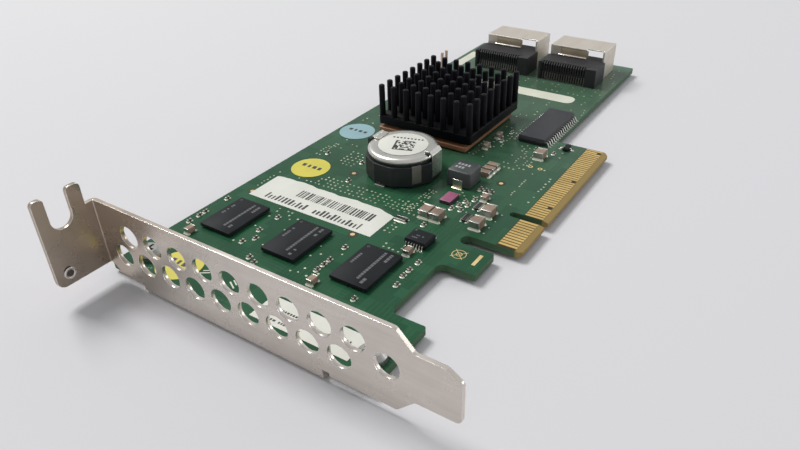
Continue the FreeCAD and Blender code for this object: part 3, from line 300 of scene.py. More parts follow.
def disc_faces(x, y, z, radius, sides=8, inner=0.0):
    """Flat discs or rings, one face or band each: every corner is a centre plus the radius
    times the cosine and sine of equal steps of angle."""
    x, y, radius = like_arrays(x, y, radius)
    turn = np.arange(sides) * 2 * math.pi / sides
    ring = np.stack([np.cos(turn), np.sin(turn)], -1)
    centre = np.stack([x, y], -1)[:, None]
    verts = centre + ring[None] * radius[:, None, None]
    k = np.arange(sides)
    faces = k[None]
    if inner > 0.0:
        verts = np.concatenate([verts, centre + ring[None] * (radius * inner)[:, None, None]], 1)
        faces = np.stack([k, (k + 1) % sides, (k + 1) % sides + sides, k + sides], -1)
    faces = faces[None] + np.arange(len(x))[:, None, None] * verts.shape[1]
    return at_height(verts, z), faces.reshape(-1, faces.shape[-1]).tolist()


def slab_faces(x, y, z, width, length, turn=0.0):
    """Flat rectangles: corners half the width and length from (x, y), turned about it."""
    x, y, width, length, turn = like_arrays(x, y, width, length, turn)
    corner = np.array([[-1, -1], [1, -1], [1, 1], [-1, 1]]) / 2
    flat = corner[None] * np.stack([width, length], -1)[:, None]
    c, s = np.cos(turn)[:, None], np.sin(turn)[:, None]
    px = flat[..., 0] * c - flat[..., 1] * s + x[:, None]
    py = flat[..., 0] * s + flat[..., 1] * c + y[:, None]
    return at_height(np.stack([px, py], -1), z), np.arange(len(x) * 4).reshape(-1, 4).tolist()


def join_forms(forms):
    """Puts several (points, faces) forms into one."""
    points, faces, start = [], [], 0
    for verts, polygons in forms:
        points.append(np.asarray(verts, float))
        faces.extend([[start + k for k in polygon] for polygon in polygons])
        start += len(verts)
    return np.concatenate(points), faces


def add_piece(name, mesh, replaces=()):
    """Puts a mesh in the scene as a piece that rides on the card's one body."""
    piece = bpy.data.objects.new(name, mesh)
    bpy.context.scene.collection.objects.link(piece)
    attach(piece, "root")
    if replaces:
        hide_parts(*replaces)
    return piece


def new_piece(name, forms, material, replaces=(), smooth=35.0):
    """Makes a piece from forms in millimetres, with edges sharper than smooth left crisp."""
    points, faces = join_forms(forms)
    mesh = bpy.data.meshes.new(name)
    mesh.from_pydata((points * MM).tolist(), [], faces)
    mesh.validate()
    if smooth:
        mesh.shade_smooth()
        mesh.set_sharp_from_angle(angle=math.radians(smooth))
    mesh.materials.append(material)
    return add_piece(name, mesh, replaces)


def flat_marks(name, forms, material):
    """Plated or printed marks, which are flat faces."""
    return new_piece(name, forms, material, smooth=0)


shuffle = np.random.default_rng(1078)


def via_field(x_low, x_high, y_low, y_high, step, keep):
    """Grid points of a via field, each moved a little and some left out at random."""
    x, y = np.meshgrid(np.arange(x_low, x_high, step), np.arange(y_low, y_high, step))
    kept = shuffle.random(x.shape) < keep
    wander = (shuffle.random((2,) + x.shape) - 0.5) * step * 0.25
    return np.stack([(x + wander[0])[kept], (y + wander[1])[kept]], -1)


# Each field: from x, to x, from y, to y, step, share that is kept.
vias = np.concatenate([via_field(*field) for field in (
    (-62.0, -26.0, -11.6, -7.2, 1.27, 0.88),
    (-62.5, -57.0, 6.5, 12.0, 1.6, 0.45),
    (-64.2, -62.4, 0.8, 8.6, 1.0, 0.8),
    (-56.3, -51.8, -0.2, 6.4, 1.3, 0.75),
    (-65.6, -65.0, -19.5, -11.5, 1.1, 0.9),
    (-28.2, -26.4, -20.2, -15.6, 1.25, 0.9),
    (-25.2, -20.4, -25.2, -23.4, 1.3, 0.7),
    (-31.6, -27.4, -11.6, -6.2, 1.1, 0.8),
    (-31.0, -26.8, -5.6, 0.4, 0.9, 0.7),
    (-24.0, -16.0, -4.5, 3.5, 1.0, 0.35),
    (-12.0, -11.2, 4.8, 21.0, 0.9, 0.62),
    (-7.1, -6.5, 3.6, 19.0, 1.4, 0.6),
    (-9.9, -8.2, -10.0, 36.0, 2.7, 0.45),
    (-20.5, -14.5, 19.0, 33.5, 1.15, 0.5),
    (-30.5, -24.6, 20.0, 42.0, 1.3, 0.4),
    (-30.0, -25.0, 48.5, 62.0, 1.9, 0.25),
    (-66.0, -60.5, 22.0, 56.0, 1.8, 0.3),
    (-26.0, -14.5, 56.5, 63.5, 1.9, 0.25),
    (-60.0, -16.0, 72.0, 78.5, 1.7, 0.35),
    (-17.2, -14.8, 62.0, 100.0, 1.9, 0.3),
    (-53.5, -46.5, -27.5, -25.0, 1.2, 0.4),
    (-36.0, -29.0, -41.5, -25.5, 1.9, 0.3),
    (-53.5, -46.5, -42.0, -26.0, 2.2, 0.3),
    (-66.5, -16.0, -48.4, -44.0, 2.6, 0.35),
)])


def box_mm(node_name):
    """The low and high corners of a CAD node's box, in millimetres."""
    low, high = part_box(node_name)
    return np.array(low) / MM, np.array(high) / MM


def points_of(node_name):
    """The corner points of a CAD node, in millimetres."""
    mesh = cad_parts[node_name].data
    flat = np.empty(len(mesh.vertices) * 3)
    mesh.vertices.foreach_get("co", flat)
    return flat.reshape(-1, 3) / MM


# Vias keep off the parts and labels: one within a margin of a part's plan is dropped.
covered = ["memory_chip_1", "memory_chip_2", "memory_chip_3", "alarm_base", "barcode_label",
           "notice_label", "controller_substrate", "inductor_body", "ferrite_bead", "wide_chip",
           "small_chip", "yellow_sticker_one", "yellow_sticker_two", "blue_sticker",
           "port_housing_1", "port_housing_2", "port_cage_1", "port_cage_2", "header_base",
           "bracket_screw_high", "bracket_screw_low", "small_chip_leads", "wide_chip_leads"]
part_margin, solder_margin = 0.5, 0.7
free = np.ones(len(vias), bool)
for name in covered:
    low, high = box_mm(name)
    free &= ((vias < low[:2] - part_margin) | (vias > high[:2] + part_margin)).any(1)
solder_points = points_of("chip_terminals")[:, :2]
far_off = ((vias[:, None] - solder_points[None]) ** 2).sum(-1).min(1) > solder_margin ** 2
vias = vias[free & far_off]

via_metal = plain_finish("via_tin", (0.46, 0.50, 0.36), 0.42, metallic=0.35, vary=0.25)
via_radius = 0.20 + 0.10 * shuffle.random(len(vias))
flat_marks("via_dots", [disc_faces(*vias.T, 0.012, via_radius, sides=7)], via_metal)
back_points, back_faces = disc_faces(*vias.T, -1.582, 0.22, sides=7)
flat_marks("via_dots_underneath", [(back_points, [face[::-1] for face in back_faces])], via_metal)

fiducials = np.array([[-49.3, -2.9], [-33.2, -24.9], [-16.3, 11.1], [-64.7, -22.4]])
ringed = np.array([[-13.95, 22.5], [-11.4, 22.5]])
mask_opening_and_bore_shade = plain_finish("mask_opening_and_bore_shade", (0.020, 0.020, 0.008), 0.5)
copper_pad = plain_finish("copper_pad", (0.90, 0.70, 0.34), 0.34, metallic=0.7)
flat_marks("fiducial_openings", [disc_faces(*fiducials.T, 0.010, 1.15, 24)], mask_opening_and_bore_shade)
flat_marks("fiducial_pads", [disc_faces(*fiducials.T, 0.022, 0.52, 20)], copper_pad)
flat_marks("ringed_holes", [disc_faces(*ringed.T, 0.014, 0.62, 18, inner=0.5)], copper_pad)
# painted shade: dark discs stand for the shade down the holes' bores
flat_marks("ringed_hole_bores", [disc_faces(*ringed.T, 0.012, 0.32, 14)], mask_opening_and_bore_shade)


def etched_target(x, y, z, radius, line):
    """A registration target: two rings and a cross through them."""
    rings = [disc_faces(x, y, z, radius, 28, inner=1 - line / radius),
             disc_faces(x, y, z, radius * 0.45, 24, inner=1 - line / radius / 0.45)]
    bars = [slab_faces(x, y, z + 0.001, radius * 2.5, line, turn) for turn in (0.785, -0.785)]
    return rings + bars


flat_marks("etched_target", etched_target(-10.4, -19.5, 0.012, 1.55, 0.16), copper_pad)
flat_marks("gold_bar", [slab_faces(-6.3, -19.4, 0.014, 0.78, 3.9)], copper_pad)

silk_ink = plain_finish("silk_ink", (0.60, 0.61, 0.51), 0.6, vary=0.06)
silk_top = 0.014


def rounded_strip(x, y, z, width, length, radius, steps=7):
    """A flat strip with round corners: four quarter circles joined in one outline."""
    angle = np.linspace(0, math.pi / 2, steps)
    quarter = np.stack([np.cos(angle), np.sin(angle)], -1) * radius
    corners = []
    for turn, (sx, sy) in enumerate(((1, 1), (-1, 1), (-1, -1), (1, -1))):
        c, s = math.cos(turn * math.pi / 2), math.sin(turn * math.pi / 2)
        arc = quarter @ np.array([[c, s], [-s, c]])
        corners.append(arc + np.array([sx * (width / 2 - radius), sy * (length / 2 - radius)]))
    outline = np.concatenate(corners) + np.array([x, y])
    return at_height(outline[None], z), [list(range(len(outline)))]


flat_marks("silk_marks", [
    rounded_strip(-37.5, 67.1, silk_top, 34.4, 5.4, 2.2),
    rounded_strip(-66.0, 85.0, silk_top, 3.2, 14.5, 0.4),
    slab_faces([-49.9, -42.3], [-51.3, -51.2], silk_top, [2.4, 2.4], [0.3, 0.3], [0.6, -0.5]),
    slab_faces([-49.9, -42.3], [-50.4, -50.3], silk_top, [1.6, 1.8], [0.28, 0.28], [0.6, -0.5]),
], silk_ink)

# ------------------------------------
# Bracket. One folded sheet of nickel-plated steel, its vents punched from outside, so
# that each has a small bright burr; the grain runs along the sheet.


def sheet_steel(name, low, high, rough, stretch, painted_shade=None, metallic=0.85):
    """Rolled sheet: long streaks one way, soft smudges and a fine grain. Where a painted shade is
    given, as (from x, to x, colour), the sheet is darkened from one to the other as painted shade."""
    material, tree, shader = new_material(name)
    place, fine, smudge = grained(tree, 3500.0)
    drawn = node(tree, "ShaderNodeMapping", None, Vector=place, Scale=stretch)
    streak = noise(tree, drawn.outputs[0], 1.0, 4.0)
    colour = blend(tree, ramp(tree, streak, 0.25, 0.75), rgb(*low), rgb(*high))
    wear_and_shade = blend(tree, times(tree, smudge, 0.25), colour, rgb(*(c * 0.86 for c in low)))
    # painted shade: darker along x, its edge slanted with height and broken by a cloud
    if painted_shade:
        start, stop, shade = painted_shade
        x, y, z = split(tree, place)
        cloud = maths(tree, "SUBTRACT", noise(tree, place, 70.0, 2.0), 0.5)
        slanted = plus(tree, plus(tree, x, times(tree, cloud, 0.022)), times(tree, z, -0.9))
        wear_and_shade = blend(tree, ramp(tree, slanted, start, stop), wear_and_shade, rgb(*shade))
    set_surface(tree, shader, wear_and_shade, uneven_gloss(tree, smudge, rough, 0.12), metallic)
    height = plus(tree, times(tree, streak, 0.5), times(tree, fine, 0.2))
    bump(tree, shader, height, 0.0000012)
    return material


# Painted shade and reflection: towards the ear the sheet is painted darker, for the ear's shade and
# the darker room the sheet reflects there.
bracket_steel = sheet_steel("bracket_nickel", (0.68, 0.615, 0.55), (0.76, 0.705, 0.65), 0.24,
                            (90.0, 400.0, 900.0), (-0.048, -0.070, (0.46, 0.385, 0.315)))


def bevelled_copy(node_name, name, material, width, angle=30.0, edge=None):
    """A copy of a CAD node, its triangles welded and its flat faces joined, with every sharp
    edge rounded by the given width in millimetres; the round may have its own finish."""
    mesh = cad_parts[node_name].data.copy()
    mesh.name = name
    mesh.materials.clear()
    mesh.materials.append(material)
    if edge:
        mesh.materials.append(edge)
    mesh.shade_smooth()
    piece = add_piece(name, mesh, [node_name])
    for kind, settings in (
            ("WELD", {"merge_threshold": 0.000002}),
            ("DECIMATE", {"decimate_type": "DISSOLVE", "angle_limit": math.radians(1.0)}),
            ("BEVEL", {"width": width * MM, "segments": 2, "limit_method": "ANGLE",
                       "angle_limit": math.radians(angle), "material": 1 if edge else -1}),
            ("WEIGHTED_NORMAL", {"mode": "FACE_AREA", "weight": 90, "keep_sharp": False})):
        modifier = piece.modifiers.new(kind.lower(), kind)
        for key, value in settings.items():
            setattr(modifier, key, value)


folded_edge = plain_finish("folded_edge", (0.76, 0.725, 0.68), 0.27, metallic=0.95,
                           depth=0.0000001, vary=0.08)
bevelled_copy("bracket", "bracket_sheet", bracket_steel, 0.09, edge=folded_edge)

# Two staggered rows of vents, and one larger hole by the tail.
ear_end = box_mm("bracket")[0][1]
face_y = ear_end + 11.3
vents = 9
row_x = 6.5 * np.arange(vents)
vent_x = np.concatenate([-58.25 + row_x, -61.25 + row_x, [-0.2]])
vent_z = np.concatenate([np.full(vents, 10.13), np.full(vents, 4.99), [7.7]])


def band_quads(rows, around):
    """Faces between neighbouring rows of points, each row closed on itself."""
    row, k = np.meshgrid(np.arange(rows - 1), np.arange(around), indexing="ij")
    right = (k + 1) % around
    return np.stack([row * around + k, row * around + right, (row + 1) * around + right,
                     (row + 1) * around + k], -1).reshape(-1, 4).tolist()


def swept_rings(x, z, y, profile, sides=36):
    """Rings about axes along Y: a profile of (radius, depth) points turned in equal steps;
    the last row of points joins the first."""
    profile = np.asarray(profile, float)
    turn = np.arange(sides) * 2 * math.pi / sides
    quads = np.array(band_quads(len(profile) + 1, sides))[:, [0, 3, 2, 1]]
    quads = (quads % (len(profile) * sides)).tolist()
    forms = []
    for cx, cz in zip(x, z):
        px = cx + profile[:, None, 0] * np.cos(turn)
        pz = cz + profile[:, None, 0] * np.sin(turn)
        py = np.broadcast_to(y + profile[:, None, 1], px.shape)
        forms.append((np.stack([px, py, pz], -1).reshape(-1, 3), quads))
    return forms


burr = [(2.395, -0.030), (2.43, -0.038), (2.50, -0.010), (2.50, 0.02), (2.395, 0.06)]
bright_edge = plain_finish("punched_edge", (0.72, 0.69, 0.65), 0.25, metallic=0.9)
new_piece("vent_edges", swept_rings(vent_x, vent_z, face_y, burr), bright_edge,
          smooth=50)

# A stamped locating mark on the ear: a bright raised rim round a dish painted dark, painted shade
# for the dimple's hollow.
bracket_points = points_of("bracket")
ear_face = bracket_points[bracket_points[:, 1] < ear_end + 4.0][:, 0].max()
mark_y, mark_z = ear_end + 2.9, 4.0
mark_rim = [(0.74, 0.005), (0.86, 0.10), (1.02, 0.11), (1.22, 0.004), (1.22, -0.04),
            (0.74, -0.04)]
mark_dish = [(0.02, 0.012), (0.78, 0.022), (0.78, -0.02), (0.02, -0.02)]
# painted shade: the dish is near black for the shade inside the dimple
dimple_shade_dark = plain_finish("ear_mark_shaded_dish", (0.13, 0.11, 0.095), 0.3, metallic=0.8)
for name, profile, metal in (("ear_mark_rim", mark_rim, folded_edge),
                             ("ear_mark_shaded_dish", mark_dish, dimple_shade_dark)):
    # turned about Y like the vents' burrs, then laid about X: x and y change places
    rings = swept_rings([mark_y], [mark_z], ear_face, profile, 28)
    new_piece(name, [(verts[:, [1, 0, 2]], faces) for verts, faces in rings], metal,
              smooth=50)

# ------------------------------------
# Bracket screws. Pan heads in zinc-plated steel with a cross recess; they hold the board
# to the two ears that the bracket's flange puts under it.

screw_steel = plain_finish("screw_zinc", (0.40, 0.40, 0.39), 0.34, metallic=0.9, grain=4000.0,
                           depth=0.000003)
dress("bracket_screw_high", screw_steel)
dress("bracket_screw_low", screw_steel)

# ------------------------------------
# Controller. An amber laminate package on underfilled solder balls, with a metal cap and
# a thermal pad; only its edges show below the heat sink.


def closed_bands(rows, around):
    """Bands of faces between rows of points, with a face over each end."""
    last = (rows - 1) * around
    return band_quads(rows, around) + [list(range(around))[::-1],
                                       list(range(last, last + around))]


def rounded_block(low, high, corner, levels, steps=4):
    """A closed block: a rectangle with round corners, drawn in by each level's inset.
    Levels are (height share, inset in millimetres)."""
    low, high = np.asarray(low, float), np.asarray(high, float)
    middle, half = (low + high) / 2, (high - low) / 2
    angle = np.linspace(0, math.pi / 2, steps)
    rings = []
    for share, inset in levels:
        radius = max(corner - inset, corner * 0.25)
        reach_x, reach_y = half[0] - inset - radius, half[1] - inset - radius
        height = np.full(steps, low[2] + (high[2] - low[2]) * share)
        for turn, (sx, sy) in enumerate(((1, 1), (-1, 1), (-1, -1), (1, -1))):
            a = angle + turn * math.pi / 2
            rings.append(np.stack([middle[0] + sx * reach_x + radius * np.cos(a),
                                   middle[1] + sy * reach_y + radius * np.sin(a), height], -1))
    return np.concatenate(rings), closed_bands(len(levels), steps * 4)


def soft_levels(height, bevel, draft=0.0):
    """Upright sides with a small bevel top and bottom; a draft draws the top in."""
    share = bevel / height
    return [(0.0, bevel), (share, 0.0), (1.0 - share * 2, draft * 0.8),
            (1.0 - share * 0.7, draft + bevel * 0.4), (1.0, draft + bevel * 1.4)]


def block_piece(name, node_name, material, corner, bevel, draft=0.0):
    """A soft block that fills a CAD node's box and stands for it."""
    low, high = box_mm(node_name)
    block = rounded_block(low, high, corner, soft_levels(high[2] - low[2], bevel, draft))
    new_piece(name, [block], material, [node_name])


substrate = plain_finish("substrate_amber", (0.265, 0.120, 0.058), 0.45, grain=5000.0, vary=0.2)
block_piece("controller_package", "controller_substrate", substrate, 0.5, 0.06)
underfill = plain_finish("underfill", (0.020, 0.016, 0.014), 0.5)
block_piece("controller_underfill_bead", "controller_underfill", underfill,
            0.9, 0.08, 0.25)
dress("controller_cap", plain_finish("cap_metal", (0.50, 0.50, 0.50), 0.35, metallic=0.8))
dress("thermal_pad", plain_finish("thermal_pad", (0.42, 0.43, 0.45), 0.7))

# ------------------------------------
# Heat sink. Forged aluminium, black anodised: round fins in straight rows on a thick
# base, their tops crowned, the skin fine and slightly glossy.


def turned_forms(x, y, profile, sides):
    """Closed upright turned forms: a profile of (radius, height) points, from the bottom
    centre to the top centre, turned in equal steps about each (x, y)."""
    profile = np.asarray(profile, float)
    inner = profile[1:-1]
    turn = np.arange(sides) * 2 * math.pi / sides
    k = np.arange(sides)
    body, last = len(inner) * sides, (len(inner) - 1) * sides
    low_fan = np.stack([np.full(sides, body), (k + 1) % sides, k], -1)
    high_fan = np.stack([np.full(sides, body + 1), last + k, last + (k + 1) % sides], -1)
    faces = band_quads(len(inner), sides) + low_fan.tolist() + high_fan.tolist()
    forms = []
    for cx, cy in zip(np.atleast_1d(x), np.atleast_1d(y)):
        px = cx + inner[:, None, 0] * np.cos(turn)
        py = cy + inner[:, None, 0] * np.sin(turn)
        pz = np.broadcast_to(inner[:, None, 1], px.shape)
        verts = np.concatenate([np.stack([px, py, pz], -1).reshape(-1, 3),
                                [[cx, cy, profile[0, 1]], [cx, cy, profile[-1, 1]]]])
        forms.append((verts, faces))
    return forms


sink_low, sink_high = box_mm("heat_sink")
base_height = 2.5
base_top, fin_top = sink_low[2] + base_height, sink_high[2]
fin_pitch, fin_radius, fin_rows = 3.79, 0.825, 8
offsets = (np.arange(fin_rows) - (fin_rows - 1) / 2) * fin_pitch
fin_x, fin_y = np.meshgrid((sink_low[0] + sink_high[0]) / 2 + offsets,
                           (sink_low[1] + sink_high[1]) / 2 + offsets)
fin_profile = [(0, base_top - 0.2), (fin_radius, base_top - 0.2), (fin_radius, base_top + 0.25),
               (fin_radius - 0.03, fin_top - 0.38), (fin_radius - 0.12, fin_top - 0.14),
               (fin_radius - 0.40, fin_top - 0.02), (0, fin_top)]
sink_base = rounded_block(sink_low, (sink_high[0], sink_high[1], base_top), 0.7,
                          soft_levels(base_height, 0.12))


def anodised_finish():
    """Black dyed skin with specks of dust, and painted shade that darkens it down between the fins.
    """
    material, tree, shader = new_material("black_anodise")
    place, fine, smudge = grained(tree, 6500.0)
    skin = blend(tree, smudge, rgb(0.0045, 0.0045, 0.0075), rgb(0.008, 0.008, 0.012))
    # painted shade: the skin is darker low down, near the base and between the fins
    shade_between_fins = ramp(tree, split(tree, place)[2], 0.0095, 0.0045)
    skin = blend(tree, shade_between_fins, skin, rgb(0.0018, 0.0018, 0.0030))
    dust_and_sheen = ramp(tree, noise(tree, place, 900.0, 3.0), 0.60, 0.82)
    skin = blend(tree, times(tree, dust_and_sheen, 0.03), skin, rgb(0.12, 0.12, 0.12))
    set_surface(tree, shader, skin, uneven_gloss(tree, smudge, 0.38, 0.10), specular=0.12)
    bump(tree, shader, fine, 0.00001)
    return material


new_piece("pin_fin_heat_sink",
          [sink_base] + turned_forms(fin_x.ravel(), fin_y.ravel(), fin_profile, 16),
          anodised_finish(), ["heat_sink"], smooth=40)

# ------------------------------------
# Memory chips. Moulded black packages on solder balls, with a moulded dot at the first
# ball and faint laser marks, here plain dashes.


def moulded_finish(name, colour, rough=0.5, specular=0.5):
    """Moulding compound: a fine sparkle of filler, and a satin that picks up the light."""
    material, tree, shader = new_material(name)
    place, fine, smudge = grained(tree, 8000.0)
    filler = ramp(tree, noise(tree, place, 12000.0, 1.0), 0.62, 0.75)
    paler = rgb(*(c * 1.6 + 0.01 for c in colour))
    base = blend(tree, times(tree, filler, 0.5), rgb(*colour), paler)
    base = blend(tree, times(tree, smudge, 0.3), base, paler)
    set_surface(tree, shader, base, uneven_gloss(tree, smudge, rough, 0.08), specular=specular)
    bump(tree, shader, fine, 0.000012)
    return material


def dash_rows(x, y, z, lines, span, tall, gap, along_x):
    """Plain marks in rows, as laser marking looks from a step away: random dashes, some
    left out. A line is (offset from the first row, start and stop as shares of the span)."""
    forms = []
    for offset, start, stop in lines:
        place = start * span
        while place < stop * span:
            width = tall * (0.45 + 0.5 * shuffle.random())
            if shuffle.random() < 0.86:
                centre = place + width / 2
                if along_x:
                    forms.append(slab_faces(x + centre, y + offset, z, width, tall * 0.8))
                else:
                    forms.append(slab_faces(x + offset, y + centre, z, tall * 0.8, width))
            place += width + gap
    return forms


chip_black = moulded_finish("moulding_black", (0.010, 0.012, 0.014), 0.5, 0.13)
laser_grey = plain_finish("laser_mark", (0.120, 0.124, 0.130), 0.6, specular=0.2)
# painted shade: the solder balls under the chips are near black for the shade beneath the packages
standoff_shade = plain_finish("shade_below_chip", (0.012, 0.012, 0.012), 0.6)
mark_lift = 0.004
# Each line: distance from the chip's far side, start, stop, height of the dashes.
chip_lines = ((1.9, 0.73, 0.97, 0.85), (3.4, 0.10, 0.97, 0.80), (2.0, 0.02, 0.2, 0.85),
              (7.6, 0.42, 0.72, 0.70))
marks = []
for index in (1, 2, 3):
    name = f"memory_chip_{index}"
    low, high = box_mm(name)
    block_piece(f"memory_package_{index}", name, chip_black, 0.18, 0.07)
    top = high[2] + mark_lift
    for inset, start, stop, tall in chip_lines:
        marks += dash_rows(high[0] - inset, low[1] + 0.8, top, [(0.0, start, stop)],
                           high[1] - low[1] - 1.6, tall, 0.14, False)
    marks.append(disc_faces(low[0] + 0.95, high[1] - 0.95, top, 0.28, 16, inner=0.6))
flat_marks("memory_marks", marks, laser_grey)
dress("memory_standoffs", standoff_shade)

# ------------------------------------
# Round alarm. A moulded base with flats and feet, a spun metal cover with a rolled rim,
# two sprung clips over the rim, and a round paper label with a plain block pattern.


def prism(points, axis, start, stop):
    """A closed bar: a flat outline, wound anticlockwise seen against the axis, carried
    along it."""
    verts = np.concatenate([np.insert(points, axis, place, axis=1) for place in (start, stop)])
    faces = closed_bands(2, len(points))
    if axis == 1:
        faces = [face[::-1] for face in faces]
    return verts, faces


alarm_low, alarm_high = box_mm("alarm_base")
alarm_x, alarm_y = (alarm_low[:2] + alarm_high[:2]) / 2
cover_low, cover_high = box_mm("alarm_cover")
cover_radius = (cover_high[0] - cover_low[0]) / 2
rim_low, rim_top = cover_low[2], cover_high[2]

alarm_black = moulded_finish("alarm_moulding", (0.014, 0.016, 0.018), 0.36, 0.4)
bevelled_copy("alarm_base", "alarm_moulded_base", alarm_black, 0.12, angle=20.0)
# The cover's profile: (in from its radius, up from its foot), then (in, down from its top).
skirt = [(0.6, 0.3), (0.5, 0.02), (0.2, 0.0), (0.0, 0.25)]
rolled_rim = [(0.0, 0.75), (0.12, 0.42), (0.38, 0.16), (0.8, 0.03), (1.25, 0.01), (1.7, 0.06)]
cover_profile = ([(0, rim_low + 0.3)]
                 + [(cover_radius - inset, rim_low + up) for inset, up in skirt]
                 + [(cover_radius - inset, rim_top - down) for inset, down in rolled_rim]
                 + [(0, rim_top - 0.06)])
# the spun steel also serves as a painted highlight on the inductor terminals' edges
spun_steel_and_edge_highlight = plain_finish("spun_cover", (0.70, 0.69, 0.65), 0.28, metallic=0.95, grain=3000.0,
                          depth=0.0000015, vary=0.04)
new_piece("alarm_spun_cover", turned_forms(alarm_x, alarm_y, cover_profile, 96), spun_steel_and_edge_highlight,
          ["alarm_cover"], smooth=40)
for side in ("high", "low"):
    bevelled_copy(f"alarm_clip_{side}", f"alarm_spring_clip_{side}", spun_steel_and_edge_highlight,
                  0.08)

# A plated side plate lies on one flat, a foot shows at the seat, and dark lugs stand by
# the clips.
plate_metal = plain_finish("alarm_plate", (0.150, 0.148, 0.128), 0.38, metallic=0.2,
                           specular=0.35)
flat_turn = math.radians(-30.0)
flat_out = (alarm_high[0] - alarm_low[0]) / 2 - 0.02


def on_flat(verts):
    """Points given as (outwards, along the flat, height), turned with the flat about the
    alarm's middle."""
    c, s = math.cos(flat_turn), math.sin(flat_turn)
    return np.stack([alarm_x + verts[:, 0] * c - verts[:, 1] * s,
                     alarm_y + verts[:, 0] * s + verts[:, 1] * c, verts[:, 2]], -1)


plate = rounded_block((flat_out - 0.3, -2.3, 1.2), (flat_out + 0.09, 0.15, 5.75), 0.08,
                      [(0.0, 0.05), (0.03, 0.0), (0.97, 0.0), (1.0, 0.05)])
new_piece("alarm_side_plate", [(on_flat(plate[0]), plate[1])], plate_metal)
new_piece("alarm_foot", [rounded_block((-41.7, -5.0, 0.01), (-38.9, -4.3, 0.3), 0.1,
                                       [(0.0, 0.0), (0.7, 0.0), (1.0, 0.08)])],
          plain_finish("alarm_foot_tin", (0.60, 0.59, 0.55), 0.3, metallic=0.85))
lug_levels = [(0.0, 0.0), (0.93, 0.0), (1.0, 0.1)]
new_piece("alarm_lugs", [rounded_block((-32.1, 2.35, 5.9), (-31.1, 3.2, 7.6), 0.12, lug_levels),
                         rounded_block((-48.5, 2.4, 5.9), (-47.5, 3.2, 7.66), 0.12, lug_levels)],
          alarm_black)
roll = np.linspace(0.0, 2 * math.pi, 13)[:-1]
roll_outline = np.stack([-47.65 + 0.42 * np.cos(roll), 7.62 + 0.30 * np.sin(roll)], -1)
new_piece("alarm_clip_roll", [prism(roll_outline, 1, 3.25, 7.6)], spun_steel_and_edge_highlight,
          smooth=50)

label_white = plain_finish("label_paper", (0.625, 0.63, 0.575), 0.62, grain=2500.0, vary=0.04)
ink_black = plain_finish("label_ink", (0.030, 0.030, 0.032), 0.55)
paper_profile = [(0, rim_top - 0.05), (6.0, rim_top - 0.05), (6.06, rim_top + 0.02),
                 (5.98, rim_top + 0.06), (0, rim_top + 0.06)]
new_piece("alarm_paper_label", turned_forms(alarm_x, alarm_y, paper_profile, 72), label_white,
          ["alarm_label"])


def block_pattern(x, y, z, cells, size, turn):
    """A square of cells, about half of them filled at random, with two closed sides."""
    filled = shuffle.random((cells, cells)) < 0.5
    filled[0, :], filled[:, 0] = True, True
    i, j = np.nonzero(filled)
    u, v = (i - (cells - 1) / 2) * size, (j - (cells - 1) / 2) * size
    c, s = math.cos(turn), math.sin(turn)
    return slab_faces(x + u * c - v * s, y + u * s + v * c, z, size, size, turn)


# The pattern and its row of dashes are printed askew on the label.
pattern_turn, row_turn = math.radians(19.0), math.radians(16.0)
row_step = np.linspace(-3.6, 3.6, 9)
print_top = rim_top + 0.066
flat_marks("alarm_label_marks", [
    block_pattern(alarm_x + 0.7, alarm_y - 0.65, print_top, 12, 0.42, pattern_turn),
    slab_faces(alarm_x - 0.5 + row_step * math.cos(row_turn),
               alarm_y + 3.1 + row_step * math.sin(row_turn), print_top, 0.5, 0.62, row_turn),
], ink_black)

# ------------------------------------
# Power inductor, ferrite bead and chip parts. Pressed and fired blocks between bright
# tinned ends, soldered to the board.

tin = plain_finish("bright_tin", (0.50, 0.49, 0.455), 0.32, metallic=0.9, grain=2500.0,
                   depth=0.000003, vary=0.22)
coil_grey = moulded_finish("pressed_powder", (0.034, 0.040, 0.041), 0.38, 0.6)
block_piece("inductor_moulding", "inductor_body", coil_grey, 0.7, 0.16, 0.12)
coil_low, coil_high = box_mm("inductor_body")
coil_marks = plain_finish("coil_mark", (0.30, 0.31, 0.31), 0.6)
flat_marks("inductor_marks", [
    slab_faces(coil_low[0] + 1.45 + 0.86 * np.arange(count), coil_low[1] + offset,
               coil_high[2] + 0.006, 0.56, 0.95) for offset, count in ((3.95, 4), (2.45, 3))
], coil_marks)
seat_low, seat_high = box_mm("inductor_terminals")
puddle = rounded_block((seat_low[0] - 0.15, seat_low[1] - 0.55, 0.005),
                       (seat_high[0] + 0.15, seat_low[1] + 0.1, 0.34), 0.2,
                       [(0.0, 0.0), (0.25, 0.15), (0.6, 0.32), (1.0, 0.46)])
new_piece("inductor_solder", [puddle],
          plain_finish("yellowed_solder", (0.80, 0.74, 0.46), 0.3, metallic=0.5))
# painted highlight: the terminals' rounded edges take the paler spun steel
bevelled_copy("inductor_terminals", "inductor_bent_terminals", tin, 0.10,
              edge=spun_steel_and_edge_highlight)


def bead_finish():
    """A pink glaze on the broad faces; the upright sides are dark."""
    material, tree, shader = new_material("ferrite_bead")
    place, fine, smudge = grained(tree, 5000.0)
    glaze = blend(tree, smudge, rgb(0.26, 0.072, 0.140), rgb(0.32, 0.092, 0.175))
    colour = blend(tree, ramp(tree, facing_up(tree), 0.35, 0.75), rgb(0.045, 0.022, 0.040), glaze)
    set_surface(tree, shader, colour, 0.4)
    bump(tree, shader, fine, 0.000008)
    return material


block_piece("ferrite_block", "ferrite_bead", bead_finish(), 0.15, 0.08)


